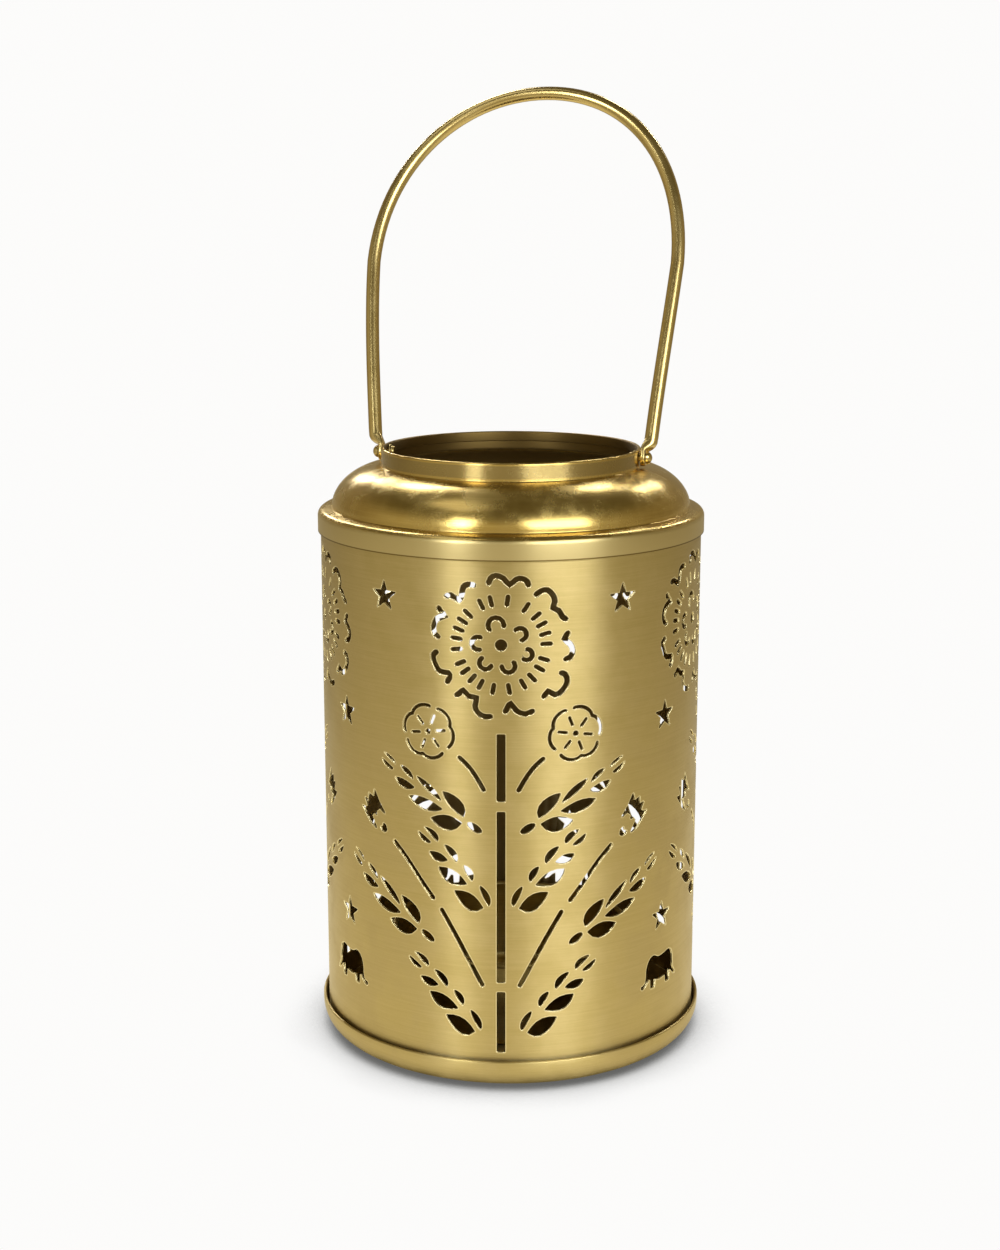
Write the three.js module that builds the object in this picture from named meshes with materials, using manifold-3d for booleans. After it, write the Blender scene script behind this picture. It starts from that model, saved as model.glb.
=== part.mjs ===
// A pierced brass candle lantern. A rolled and pierced sheet body stands in a shallow base pan.
// A spun cap with an open collar closes it, and a wire bail swings on two rivets in the collar.
// Inside, a shallow candle cup is riveted to the middle of the pan.
//
// Millimetres, +Z up. The origin is the middle of the underside, +X is the bail's pivot axis
// and -Y is the front. Angles round the body run from the front towards +X.

import * as THREE from 'three';
import { mergeVertices } from 'three/addons/utils/BufferGeometryUtils.js';
import Module from 'manifold-3d';

const manifold = await Module();
manifold.setup();

// Sheet, clearances and facets
const SHEET = 0.6;
const GAP = 0.3;
const FACETS = 24;
const ROUND_SIDES = 10;
const CURVE_STEPS = 3;

// Pierced body
const BODY_R = 61.6;
const FOOT_BORDER = 2.5;
const TOP_BORDER = 8.3;
const LAP_WIDTH = 3.9;
const LAP_AZIMUTH = 173.3;
const PUNCH_MARGIN = 2;

// Base pan
const PAN_PLAY = 1.3;
const PAN_CURVE = 8;
const PAN_HEIGHT = 9.9;
const PAN_BEAD = 1;
const PAN_RING = 11.5;
const PAN_RAISE = 3;
const PAN_STEP = 2;
const DIMPLE_R = 6;
const DIMPLE = 1.6;

// Spun cap, from the skirt up to the collar's rim
const SKIRT_DROP = 4.9;
const SKIRT_CHAMFER = 0.5;
const SHOULDER_CURVE = 2.2;
const LEDGE_WIDTH = 1.7;
const LEDGE_RISE = 0.4;
const COVE = 0.7;
const DOME_HEIGHT = 12.7;
const DOME_STEPS = 4;
const DOME_CROWN_PULL = 10;
const DOME_FOOT_PULL = 5;
const COLLAR_R = 41.8;
const COLLAR_HEIGHT = 5.8;
const COLLAR_FILLET = 0.4;
const HEM_DEPTH = 3.3;
const RIM_ROUND = 0.5;

// Candle cup and the rivet that holds it
const CUP_R = 40;
const CUP_HEIGHT = 29.1;
const CUP_CORNER = 3;
const CUP_BEAD = 1;
const CUP_RIVET_R = 1.5;
const CUP_RIVET_HEAD_R = 3;
const CUP_RIVET_HEAD = 1;
const CUP_RIVET_TAIL_R = 2.6;
const CUP_RIVET_TAIL = 0.7;

// Bail, in its own plane: across from the middle, and up from the pivot
const BAIL_WIRE = 4.2;
const BAIL_DROP = 2.7;
const BAIL_LEAN = THREE.MathUtils.degToRad(23.5);
const BAIL_SHOULDER = 50.9;
const BAIL_SHOULDER_HEIGHT = 70;
const BAIL_HEIGHT = 126;
const BAIL_LEG_FOOT = 5.5;
const BAIL_ARCH_PULL = 0.57;
const BAIL_STEPS = 32;
const EYE_R = 2.7;
const EYE_THICKNESS = 1.6;
const EYE_TONGUE = 7;

// Bail rivets and their backing washers
const PIVOT_R = 1.2;
const PIVOT_HEAD_R = 2.2;
const PIVOT_HEAD = 1.3;
const PIVOT_TAIL_R = 1.8;
const PIVOT_TAIL = 0.8;
const WASHER_R = 2.3;
const WASHER_THICKNESS = 0.5;

// Pierced pattern: where its copies stand round the body
const PATTERN_TURN = THREE.MathUtils.degToRad(8);
const FLOWER_COPIES = 5;
const PLANT_STEP = THREE.MathUtils.degToRad(108);
const PLANT_PLACES = [0, 1, -1];
const SIDE_PLACES = [0.5, -0.5, 1.5, -1.5];
const PLANT_BRIDGE = 3.6;
const PLANT_REACH = BODY_R * PLANT_STEP / 2 - PLANT_BRIDGE;

// Large flower
const FLOWER_RISE = 130.2;
const FLOWER_R = 22.1;
const FLOWER_EYE_R = 1.7;
const PETALS = 6;
const PETAL_RING = 7;
const PETAL_R = 2.4;
const PETAL_STROKE = 1.4;
const RAYS = 9;
const RAY_INNER = 12.2;
const RAY_OUTER = 16.5;
const RAY_WIDTH = 1.4;
const BORDER_STROKES = 9;
const BORDER_WIDTH = 1.7;
const BORDER_CUSP = 2.6;
const BORDER_BRIDGE = 2.4;

// Small flowers of the plant
const SMALL_FLOWER = { x: 23, z: 102.9 };
const SMALL_R = 9.1;
const SMALL_EYE_R = 0.9;
const SMALL_RAYS = 4;
const SMALL_RAY_INNER = 2.6;
const SMALL_RAY_OUTER = 5.7;
const SMALL_RAY_WIDTH = 0.95;
const SMALL_STROKES = 3;
const SMALL_BORDER_WIDTH = 1.1;
const SMALL_CUSP = 1.1;
const SMALL_BRIDGE = 2;

// Stems, as stretches between two ends
const STEM_WIDTH = 2.7;
const STEM_HEIGHTS = [[0, 20], [23.1, 78.3], [81.5, 102.7]];
const BRANCH_WIDTH = 1.3;
const BRANCHES = [
  [5.9, 22.1, 18.75, 45.6],
  [21.5, 49, 35.6, 65.2],
  [5.3, 85, 13, 95],
];

// Leaf sprigs, from foot to tip; the long ones have a bud at the foot
const LONG_SPRIGS = [[6.5, 72.1, 40, 91.6], [22, 35.4, PLANT_REACH, 56.6]];
const SHORT_SPRIGS = [[4.9, 48, 25.6, 69.6], [7.5, 7.5, 29.5, 28.6]];
const LEAF_PAIRS = 4;
const LEAF_SHRINK = 0.87;
const LEAF_REACH = 1.2;
const LEAF_SPREAD = THREE.MathUtils.degToRad(31);
const LEAF_UPPER = 0.85;
const MIDRIB = 1.3;
const LEAF_BRIDGE = 1.5;
const SPRIG_BUD = 4.6;
const SPRIG_BUD_WIDTH = 2.5;

// Tulip buds at the ends of the long branches
const BUD = { x: 44.5, z: 74.3 };
const BUD_TILT = THREE.MathUtils.degToRad(-38);
const BUD_HALF_WIDTH = 4.3;
const BUD_HALF_HEIGHT = 5.8;

// Stars and elephants between the plants
const STAR_R = 5.1;
const STAR_INNER = 2.1;
const STAR_POINTS = 5;
const HIGH_STAR = 142.6;
const MIDDLE_STAR = 102.9;
const LOW_STAR = 36.6;
const ELEPHANT_RISE = 18.6;
const ELEPHANT_LENGTH = 19.5;

// Sizes that follow from the ones above
const PAN_R = BODY_R + PAN_PLAY + SHEET;
const PAN_FLAT_R = PAN_R - PAN_CURVE;
const PAN_CENTRE_R = PAN_FLAT_R - PAN_RING;
const PAN_CLEAR_CURVE = PAN_CURVE - SHEET - GAP;
const BODY_FOOT = PAN_CURVE - Math.sqrt(PAN_CLEAR_CURVE ** 2 - (BODY_R - PAN_FLAT_R) ** 2);
const PATTERN_FOOT = PAN_HEIGHT + FOOT_BORDER;
const BODY_TOP = PATTERN_FOOT + FLOWER_RISE + FLOWER_R + TOP_BORDER;
const SKIRT_R = BODY_R + GAP + SHEET;
const SHOULDER_R = SKIRT_R - SHOULDER_CURVE;
const SEAT_CURVE = SHOULDER_CURVE - SHEET - GAP;
const SHOULDER_Z = BODY_TOP - Math.sqrt(Math.max(SEAT_CURVE ** 2 - (BODY_R - SHOULDER_R) ** 2, 0));
const LEDGE_Z = SHOULDER_Z + SHOULDER_CURVE;
const DOME_R = SHOULDER_R - LEDGE_WIDTH - COVE;
const DOME_FOOT = LEDGE_Z + LEDGE_RISE + COVE / 2;
const DOME_TOP = DOME_FOOT + DOME_HEIGHT;
const RIM_Z = DOME_TOP + COLLAR_HEIGHT;
const HEM_R = COLLAR_R - 2 * SHEET;
const CUP_FLOOR = PAN_RAISE + SHEET + GAP;
const CUP_WALL_R = CUP_R - CUP_BEAD;
const CUP_TOP = CUP_FLOOR + CUP_HEIGHT;
const PIVOT_Z = RIM_Z - BAIL_DROP;
const PIVOT_HOLE_R = PIVOT_R + GAP;
const CUP_HOLE_R = CUP_RIVET_R + GAP;
const EYE_INNER_X = COLLAR_R + GAP;
const EYE_OUTER_X = EYE_INNER_X + EYE_THICKNESS;
const LEG_X = EYE_INNER_X + BAIL_WIRE / 2 + 0.1;
const WASHER_X = Math.sqrt(HEM_R ** 2 - WASHER_R ** 2) - GAP;

const BRASS = { color: 0xb59a58, roughness: 0.38, metalness: 1 };
const AGED_BRASS = { color: 0x8d7440, roughness: 0.45, metalness: 1 };
const BRIGHT_BRASS = { color: 0xd6bb78, roughness: 0.25, metalness: 1 };

const point = (x, z) => new THREE.Vector2(x, z);
const polar = (r, angle) => point(r * Math.cos(angle), r * Math.sin(angle));

/** Points of an arc about a centre, both ends included. */
function arc(centre, r, from, to, steps) {
  return Array.from({ length: steps + 1 }, (_, i) =>
    polar(r, from + (to - from) * i / steps).add(centre));
}

/** The points of a line moved sideways to its left, with mitred corners. */
function beside(points, distance) {
  return points.map((here, i) => {
    const before = points[Math.max(i - 1, 0)];
    const after = points[Math.min(i + 1, points.length - 1)];
    const back = here.clone().sub(before).normalize();
    const ahead = after.clone().sub(here).normalize();
    const along = back.add(ahead).normalize();
    const turn = i > 0 && i < points.length - 1 ? Math.abs(along.dot(ahead)) : 1;
    return point(-along.y, along.x).multiplyScalar(distance / turn).add(here);
  });
}

/** The closed section of a sheet whose outer face is given: metal lies to the line's left. */
function sheetSection(outer, top = []) {
  return [...outer, ...top, ...beside(outer, SHEET).reverse()];
}

/** A closed solid for joining and cutting, from a geometry that is closed itself. */
function solid(geometry) {
  const bare = geometry.clone();
  bare.deleteAttribute('normal');
  bare.deleteAttribute('uv');
  const merged = mergeVertices(bare, 1e-4);
  const triVerts = new Uint32Array(merged.index.array);
  const vertProperties = new Float32Array(merged.attributes.position.array);
  return new manifold.Manifold(new manifold.Mesh({ numProp: 3, vertProperties, triVerts }));
}

/** The geometry of a joined or cut solid. */
function geometryOf(body) {
  const mesh = body.getMesh();
  const geometry = new THREE.BufferGeometry();
  geometry.setAttribute('position', new THREE.BufferAttribute(mesh.vertProperties, 3));
  geometry.setIndex(new THREE.BufferAttribute(mesh.triVerts, 1));
  geometry.computeVertexNormals();
  return geometry;
}

/** A closed section spun about +Z, with corners of its facets on the X and Y axes. */
const spin = (section) => new THREE.LatheGeometry([...section, section[0]], FACETS).rotateX(Math.PI / 2);

/** A round bar along +Z. */
function bar(r, from, to) {
  const section = [point(0, from), point(r, from), point(r, to), point(0, to)];
  return new THREE.LatheGeometry(section, ROUND_SIDES).rotateX(Math.PI / 2);
}

// Outlines of the pattern. Each function gives a list of closed outlines in the unrolled sheet.

/** Outlines moved, turned about their own origin, and mirrored where that is asked. */
function placed(outlines, { x = 0, z = 0, turn = 0, mirror = false }) {
  const origin = point(0, 0);
  return outlines.map((outline) => outline.map((p) => {
    const turned = p.clone().rotateAround(origin, turn).add(point(x, z));
    return mirror ? point(-turned.x, turned.y) : turned;
  }));
}

/** A slot of even width along a line. */
function stroke(line, width) {
  return [...beside(line, -width / 2), ...beside(line, width / 2).reverse()];
}

/** A wedge-shaped ray that widens away from the origin. */
function ray(angle, inner, outer, width) {
  const half = width / (2 * outer);
  return [polar(inner, angle), polar(outer, angle - half), polar(outer, angle + half)];
}

/** One stroke of a scalloped border: a cusp between the halves of two lobes. */
function scallop(middle, r, strokes, cusp, bridge, width) {
  const crest = r - width / 2;
  const end = Math.PI / strokes - bridge / (2 * crest);
  const line = [polar(crest, middle - end), polar(crest - cusp, middle), polar(crest, middle + end)];
  return stroke(line, width);
}

/** Evenly spaced angles round a full turn, the first one straight up. */
const turns = (count) => Array.from({ length: count }, (_, i) => Math.PI / 2 + 2 * Math.PI * i / count);

function largeFlower() {
  const eye = arc(point(0, 0), FLOWER_EYE_R, 0, 2 * Math.PI * 5 / 6, 5);
  const petals = turns(PETALS).map((angle) => {
    const open = Math.PI / 3;
    const line = arc(polar(PETAL_RING, angle), PETAL_R, angle - Math.PI + open, angle + Math.PI - open, 2);
    return stroke(line, PETAL_STROKE);
  });
  const rays = turns(RAYS).map((angle) => ray(angle, RAY_INNER, RAY_OUTER, RAY_WIDTH));
  const border = turns(BORDER_STROKES).map((angle) =>
    scallop(angle, FLOWER_R, BORDER_STROKES, BORDER_CUSP, BORDER_BRIDGE, BORDER_WIDTH));
  return [eye, ...petals, ...rays, ...border];
}

function smallFlower() {
  const eye = arc(point(0, 0), SMALL_EYE_R, 0, 2 * Math.PI * 3 / 4, 3);
  const rays = turns(SMALL_RAYS).map((angle) =>
    ray(angle, SMALL_RAY_INNER, SMALL_RAY_OUTER, SMALL_RAY_WIDTH));
  const border = turns(SMALL_STROKES).map((angle) =>
    scallop(angle, SMALL_R, SMALL_STROKES, SMALL_CUSP, SMALL_BRIDGE, SMALL_BORDER_WIDTH));
  return [eye, ...rays, ...border];
}

/** A leaf with its foot on the midrib. It leans away from the midrib, to the line's left. */
function leaf(start, spacing, reach) {
  const rib = MIDRIB / 2;
  const foot = point(start, rib);
  const tip = polar(reach, LEAF_SPREAD).add(foot);
  const corner = point(start + spacing - LEAF_BRIDGE, rib);
  return [foot, corner, tip];
}

/** Pairs of leaves that get smaller from the foot to the tip of an uncut midrib. */
function sprig([footX, footZ, tipX, tipZ], bud) {
  const span = point(tipX - footX, tipZ - footZ);
  const first = bud ? SPRIG_BUD + LEAF_BRIDGE : 0;
  const sizes = Array.from({ length: LEAF_PAIRS }, (_, i) => LEAF_SHRINK ** i);
  const last = sizes.pop();
  const total = sizes.reduce((sum, size) => sum + size, last * LEAF_REACH * Math.cos(LEAF_SPREAD));
  const unit = (span.length() - first) / total;
  let start = first;
  const outlines = [...sizes, last].flatMap((size) => {
    const spacing = size * unit;
    const lower = leaf(start, spacing, spacing * LEAF_REACH);
    const upper = leaf(start, spacing, spacing * LEAF_REACH * LEAF_UPPER);
    start += spacing;
    return [upper, lower.map((p) => point(p.x, -p.y))];
  });
  if (bud) {
    const half = SPRIG_BUD_WIDTH / 2;
    const cheek = SPRIG_BUD / 4;
    outlines.push([point(0, 0), point(cheek, -half), point(SPRIG_BUD - cheek, -half),
      point(SPRIG_BUD, 0), point(SPRIG_BUD - cheek, half), point(cheek, half)]);
  }
  return placed(outlines, { x: footX, z: footZ, turn: span.angle() });
}

/** A crown with three points above, two long sepals below, and a separate foot. */
function tulipBud() {
  const half = [[0, 1], [0.3, 0.42], [0.74, 0.95], [0.86, 0.1], [1, -0.78], [0.5, -0.12]];
  const right = half.map(([x, z]) => point(x * BUD_HALF_WIDTH, z * BUD_HALF_HEIGHT));
  const left = right.slice(1).reverse().map((p) => point(-p.x, p.y));
  const dip = point(0, -0.4 * BUD_HALF_HEIGHT);
  const foot = arc(point(0, -0.92 * BUD_HALF_HEIGHT), BUD_HALF_WIDTH * 0.34, 0, 2 * Math.PI * 4 / 5, 4);
  return [[...right, dip, ...left], foot];
}

/** A branch stem from the plant's stem outwards. */
const branch = ([x0, z0, x1, z1]) => stroke([point(x0, z0), point(x1, z1)], BRANCH_WIDTH);

function star() {
  return Array.from({ length: 2 * STAR_POINTS }, (_, i) =>
    polar(i % 2 ? STAR_INNER : STAR_R, Math.PI / 2 + Math.PI * i / STAR_POINTS));
}

/** A walking elephant in side view that looks towards +x, in units of its length. */
function elephant() {
  const unit = ELEPHANT_LENGTH;
  const outline = [
    [-0.5, -0.15], [-0.38, -0.02], [-0.4, 0.16], [-0.28, 0.29], [0, 0.27], [0.18, 0.29], [0.3, 0.18],
    [0.37, -0.05], [0.43, -0.19], [0.5, -0.2], [0.46, -0.28], [0.38, -0.22], [0.28, -0.09],
    [0.23, -0.12], [0.23, -0.3], [0.11, -0.3], [0.12, -0.13], [-0.18, -0.13], [-0.2, -0.3],
    [-0.31, -0.3], [-0.31, -0.09], [-0.46, -0.2],
  ];
  return outline.map(([x, z]) => point(x * unit, z * unit));
}

/** One plant: its stems, branches, sprigs, buds and small flowers, on both sides of the stem. */
function plant() {
  const half = STEM_WIDTH / 2;
  const stems = STEM_HEIGHTS.map(([from, to]) =>
    [point(-half, from), point(half, from), point(half, to), point(-half, to)]);
  const side = [
    ...BRANCHES.map(branch),
    ...LONG_SPRIGS.flatMap((line) => sprig(line, true)),
    ...SHORT_SPRIGS.flatMap((line) => sprig(line, false)),
    ...placed(tulipBud(), { x: BUD.x, z: BUD.z, turn: BUD_TILT }),
    ...placed(smallFlower(), SMALL_FLOWER),
  ];
  return [...stems, ...side, ...placed(side, { mirror: true })];
}

/** A straight punch for one outline, square to the sheet at the outline's middle. */
function punch(outline, azimuth) {
  const bounds = new THREE.Box2().setFromPoints(outline);
  const middle = bounds.getCenter(new THREE.Vector2()).x;
  const flat = outline.map((p) => point(BODY_R * Math.sin((p.x - middle) / BODY_R), p.y));
  const start = BODY_R - SHEET - PUNCH_MARGIN;
  const depth = SHEET + 2 * PUNCH_MARGIN;
  return new THREE.ExtrudeGeometry(new THREE.Shape(flat), { depth, bevelEnabled: false })
    .translate(0, 0, start)
    .rotateX(Math.PI / 2)
    .rotateZ(PATTERN_TURN + azimuth + middle / BODY_R)
    .translate(0, 0, PATTERN_FOOT);
}

/** Every punch of the pattern, each motif at its own places round the body. */
function patternPunches() {
  const flowerStep = 2 * Math.PI / FLOWER_COPIES;
  const at = (outlines, azimuth) => outlines.map((outline) => punch(outline, azimuth));
  const flowers = Array.from({ length: FLOWER_COPIES }, (_, i) => [
    ...at(placed(largeFlower(), { z: FLOWER_RISE }), i * flowerStep),
    ...at(placed([star()], { z: HIGH_STAR }), (i + 0.5) * flowerStep),
  ]);
  const plants = PLANT_PLACES.map((place) => at(plant(), place * PLANT_STEP));
  const sides = SIDE_PLACES.map((place) => at([
    ...placed([star()], { z: MIDDLE_STAR }),
    ...placed([star()], { z: LOW_STAR }),
    ...placed([elephant()], { z: ELEPHANT_RISE, mirror: place > 0 }),
  ], place * PLANT_STEP));
  return [...flowers, ...plants, ...sides].flat();
}

/** The strip of the sheet's end that laps inside the body at the back. */
function lapStrip() {
  const half = LAP_WIDTH / (2 * BODY_R);
  const outer = arc(point(0, 0), BODY_R - SHEET / 2, -half, half, 2);
  const inner = arc(point(0, 0), BODY_R - 2 * SHEET, half, -half, 2);
  const shape = new THREE.Shape([...outer, ...inner]);
  return new THREE.ExtrudeGeometry(shape, { depth: BODY_TOP - BODY_FOOT, bevelEnabled: false })
    .rotateZ(PATTERN_TURN + THREE.MathUtils.degToRad(LAP_AZIMUTH) - Math.PI / 2)
    .translate(0, 0, BODY_FOOT);
}

function piercedBody() {
  const inner = BODY_R - SHEET;
  const tube = spin([point(inner, BODY_FOOT), point(BODY_R, BODY_FOOT),
    point(BODY_R, BODY_TOP), point(inner, BODY_TOP)]);
  const blank = solid(tube).add(solid(lapStrip()));
  const punches = manifold.Manifold.union(patternPunches().map(solid));
  return geometryOf(blank.subtract(punches).asOriginal().simplify());
}

/** The underside of the pan's raised middle, from the rivet hole across its dimple. */
const panMiddle = () => [
  point(CUP_HOLE_R, PAN_RAISE - DIMPLE), point(DIMPLE_R - DIMPLE, PAN_RAISE - DIMPLE),
  point(DIMPLE_R, PAN_RAISE), point(PAN_CENTRE_R - PAN_STEP, PAN_RAISE),
];

function basePan() {
  const wall = arc(point(PAN_FLAT_R, PAN_CURVE), PAN_CURVE, -Math.PI / 2, 0, CURVE_STEPS);
  const outer = [...panMiddle(), point(PAN_CENTRE_R, 0), ...wall,
    point(PAN_R, PAN_HEIGHT - PAN_BEAD / 2)];
  const bead = arc(point(PAN_R - PAN_BEAD / 2, PAN_HEIGHT - PAN_BEAD / 2), PAN_BEAD / 2,
    Math.PI / 3, Math.PI, 2);
  return spin(sheetSection(outer, bead));
}

function spunCap() {
  const skirtFoot = BODY_TOP - SKIRT_DROP;
  const shoulder = arc(point(SHOULDER_R, SHOULDER_Z), SHOULDER_CURVE, 0, Math.PI / 2, CURVE_STEPS - 1);
  const crown = point(COLLAR_R + COLLAR_FILLET, DOME_TOP);
  const dome = new THREE.CubicBezierCurve(
    point(DOME_R, DOME_FOOT), point(DOME_R, DOME_FOOT + DOME_FOOT_PULL),
    point(crown.x + DOME_CROWN_PULL, crown.y - COVE), crown).getPoints(DOME_STEPS);
  const outer = [
    point(SKIRT_R, skirtFoot), ...shoulder,
    point(SHOULDER_R - LEDGE_WIDTH, LEDGE_Z + LEDGE_RISE), ...dome,
    point(COLLAR_R, DOME_TOP + COLLAR_FILLET), point(COLLAR_R, RIM_Z - RIM_ROUND),
  ];
  const hem = [
    point(COLLAR_R - RIM_ROUND, RIM_Z), point(HEM_R + RIM_ROUND, RIM_Z),
    point(HEM_R, RIM_Z - RIM_ROUND), point(HEM_R, RIM_Z - HEM_DEPTH),
    point(HEM_R + SHEET, RIM_Z - HEM_DEPTH),
  ];
  const section = sheetSection(outer, hem);
  section.splice(outer.length + hem.length, 1);
  section[0] = point(SKIRT_R - SKIRT_CHAMFER, skirtFoot);
  section.splice(1, 0, point(SKIRT_R, skirtFoot + SKIRT_CHAMFER));
  const holes = solid(bar(PIVOT_HOLE_R, -PAN_R, PAN_R).rotateY(Math.PI / 2).translate(0, 0, PIVOT_Z));
  return geometryOf(solid(spin(section)).subtract(holes));
}

function candleCup() {
  const dimple = beside(panMiddle(), SHEET + GAP).slice(0, -1);
  const corner = arc(point(CUP_WALL_R - CUP_CORNER, CUP_FLOOR + CUP_CORNER), CUP_CORNER,
    -Math.PI / 2, 0, CURVE_STEPS - 1);
  const outer = [...dimple, ...corner, point(CUP_WALL_R, CUP_TOP - 2 * CUP_BEAD)];
  const bead = arc(point(CUP_WALL_R, CUP_TOP - CUP_BEAD), CUP_BEAD, -Math.PI / 4, Math.PI, 4);
  return spin(sheetSection(outer, bead));
}

/** A rivet along +Z: its tail at the bottom, its shank, and a domed head on top. */
function rivet(shankR, tailR, tail, tailTop, headR, head, headFoot) {
  const rise = 0.35;
  const section = [
    point(0, tailTop - tail), point(tailR, tailTop - tail), point(tailR, tailTop),
    point(shankR, tailTop), point(shankR, headFoot), point(headR, headFoot),
    point(headR, headFoot + head * rise), point(headR * 0.7, headFoot + head * 0.8),
    point(0, headFoot + head),
  ];
  return new THREE.LatheGeometry(section, ROUND_SIDES).rotateX(Math.PI / 2);
}

function cupRivet() {
  return rivet(CUP_RIVET_R, CUP_RIVET_TAIL_R, CUP_RIVET_TAIL, PAN_RAISE - DIMPLE - GAP,
    CUP_RIVET_HEAD_R, CUP_RIVET_HEAD, CUP_FLOOR - DIMPLE + SHEET + GAP);
}

/** A bail rivet along +X from the middle: its tail inside the collar, its head outside the eye. */
function bailRivet() {
  return rivet(PIVOT_R, PIVOT_TAIL_R, PIVOT_TAIL, WASHER_X - WASHER_THICKNESS - GAP,
    PIVOT_HEAD_R, PIVOT_HEAD, EYE_OUTER_X + GAP).rotateY(Math.PI / 2);
}

function bailWasher() {
  const from = WASHER_X - WASHER_THICKNESS;
  const section = [point(PIVOT_HOLE_R, from), point(WASHER_R, from),
    point(WASHER_R, WASHER_X), point(PIVOT_HOLE_R, WASHER_X), point(PIVOT_HOLE_R, from)];
  return new THREE.LatheGeometry(section, ROUND_SIDES).rotateX(Math.PI / 2).rotateY(Math.PI / 2);
}

/** The line of the bail's wire: a bowed leg, a round arch, and the other leg. */
function bailLine() {
  const at = (x, z) => new THREE.Vector3(x, 0, z);
  const rise = BAIL_HEIGHT - BAIL_SHOULDER_HEIGHT;
  const legRise = BAIL_SHOULDER_HEIGHT - BAIL_LEG_FOOT;
  const lift = rise * BAIL_ARCH_PULL;
  const reach = BAIL_SHOULDER * BAIL_ARCH_PULL;
  const legPull = legRise / 3;
  const legOut = (BAIL_SHOULDER - LEG_X) / 5;
  const line = new THREE.CurvePath();
  const leg = (side) => [
    at(side * LEG_X, BAIL_LEG_FOOT), at(side * (LEG_X + legOut), BAIL_LEG_FOOT + legPull),
    at(side * BAIL_SHOULDER, BAIL_SHOULDER_HEIGHT - legPull), at(side * BAIL_SHOULDER, BAIL_SHOULDER_HEIGHT),
  ];
  const arch = (side) => [
    at(side * BAIL_SHOULDER, BAIL_SHOULDER_HEIGHT), at(side * BAIL_SHOULDER, BAIL_SHOULDER_HEIGHT + lift),
    at(side * reach, BAIL_HEIGHT), at(0, BAIL_HEIGHT),
  ];
  line.add(new THREE.CubicBezierCurve3(...leg(-1)));
  line.add(new THREE.CubicBezierCurve3(...arch(-1)));
  line.add(new THREE.CubicBezierCurve3(...arch(1).reverse()));
  line.add(new THREE.CubicBezierCurve3(...leg(1).reverse()));
  return line;
}

/** The flattened foot of one leg: an eye for the rivet with a tongue that runs into the wire. */
function bailEye(side) {
  const outline = new THREE.Shape()
    .moveTo(-EYE_R, 0)
    .absarc(0, 0, EYE_R, Math.PI, 2 * Math.PI, false)
    .lineTo(BAIL_WIRE / 2, EYE_TONGUE)
    .lineTo(-BAIL_WIRE / 2, EYE_TONGUE);
  const options = { depth: EYE_THICKNESS, bevelEnabled: false, curveSegments: ROUND_SIDES / 2 };
  const eye = new THREE.ExtrudeGeometry(outline, options)
    .translate(0, 0, EYE_INNER_X)
    .rotateX(Math.PI / 2)
    .rotateZ(Math.PI / 2);
  return side > 0 ? eye : eye.rotateZ(Math.PI);
}

function bailHandle() {
  const ring = new THREE.Shape(arc(point(0, 0), BAIL_WIRE / 2, 0, 2 * Math.PI * 7 / 8, 7));
  const wire = new THREE.ExtrudeGeometry(ring, { steps: BAIL_STEPS, extrudePath: bailLine() });
  const hole = bar(PIVOT_HOLE_R, -EYE_OUTER_X - GAP, EYE_OUTER_X + GAP).rotateY(Math.PI / 2);
  const ends = [-1, 1].map((side) =>
    new THREE.SphereGeometry(BAIL_WIRE / 2, 8, 4).translate(side * LEG_X, 0, BAIL_LEG_FOOT));
  const parts = [wire, ...ends, bailEye(-1), bailEye(1)].map(solid);
  return geometryOf(manifold.Manifold.union(parts).subtract(solid(hole)));
}

/** A named mesh with its own material. */
function piece(name, geometry, finish) {
  const mesh = new THREE.Mesh(geometry, new THREE.MeshStandardMaterial(finish));
  mesh.name = name;
  return mesh;
}

const lantern = new THREE.Group();
lantern.add(
  piece('pierced_body', piercedBody(), BRASS),
  piece('base_pan', basePan(), BRASS),
  piece('spun_cap', spunCap(), BRASS),
  piece('candle_cup', candleCup(), AGED_BRASS),
  piece('cup_rivet', cupRivet(), AGED_BRASS),
);

const bail = piece('bail_handle', bailHandle(), BRIGHT_BRASS);
bail.rotation.x = -BAIL_LEAN;
bail.position.z = PIVOT_Z;
lantern.add(bail);

for (const [side, turn] of [['right', 0], ['left', Math.PI]]) {
  const pivot = new THREE.Group();
  pivot.rotation.z = turn;
  pivot.position.z = PIVOT_Z;
  pivot.add(piece(`bail_rivet_${side}`, bailRivet(), BRIGHT_BRASS));
  pivot.add(piece(`bail_washer_${side}`, bailWasher(), AGED_BRASS));
  lantern.add(pivot);
}

export default lantern;
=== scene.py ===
"""Looks of a pierced brass candle lantern, built round its packed construction model.

The body is one sheet, cut with flowers, leafy plants, stars and elephants, and rolled into a tube
with a lap seam at the back. The cap, pan and cup are spun sheet. The bail is a forged wire.
Sizes are in millimetres until a mesh is finished, and metres after that.
"""

import logging
import math
from dataclasses import dataclass, field
from enum import Enum

import bmesh
import bpy
from mathutils import Matrix, Vector
from mathutils.geometry import intersect_line_line_2d


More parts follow.
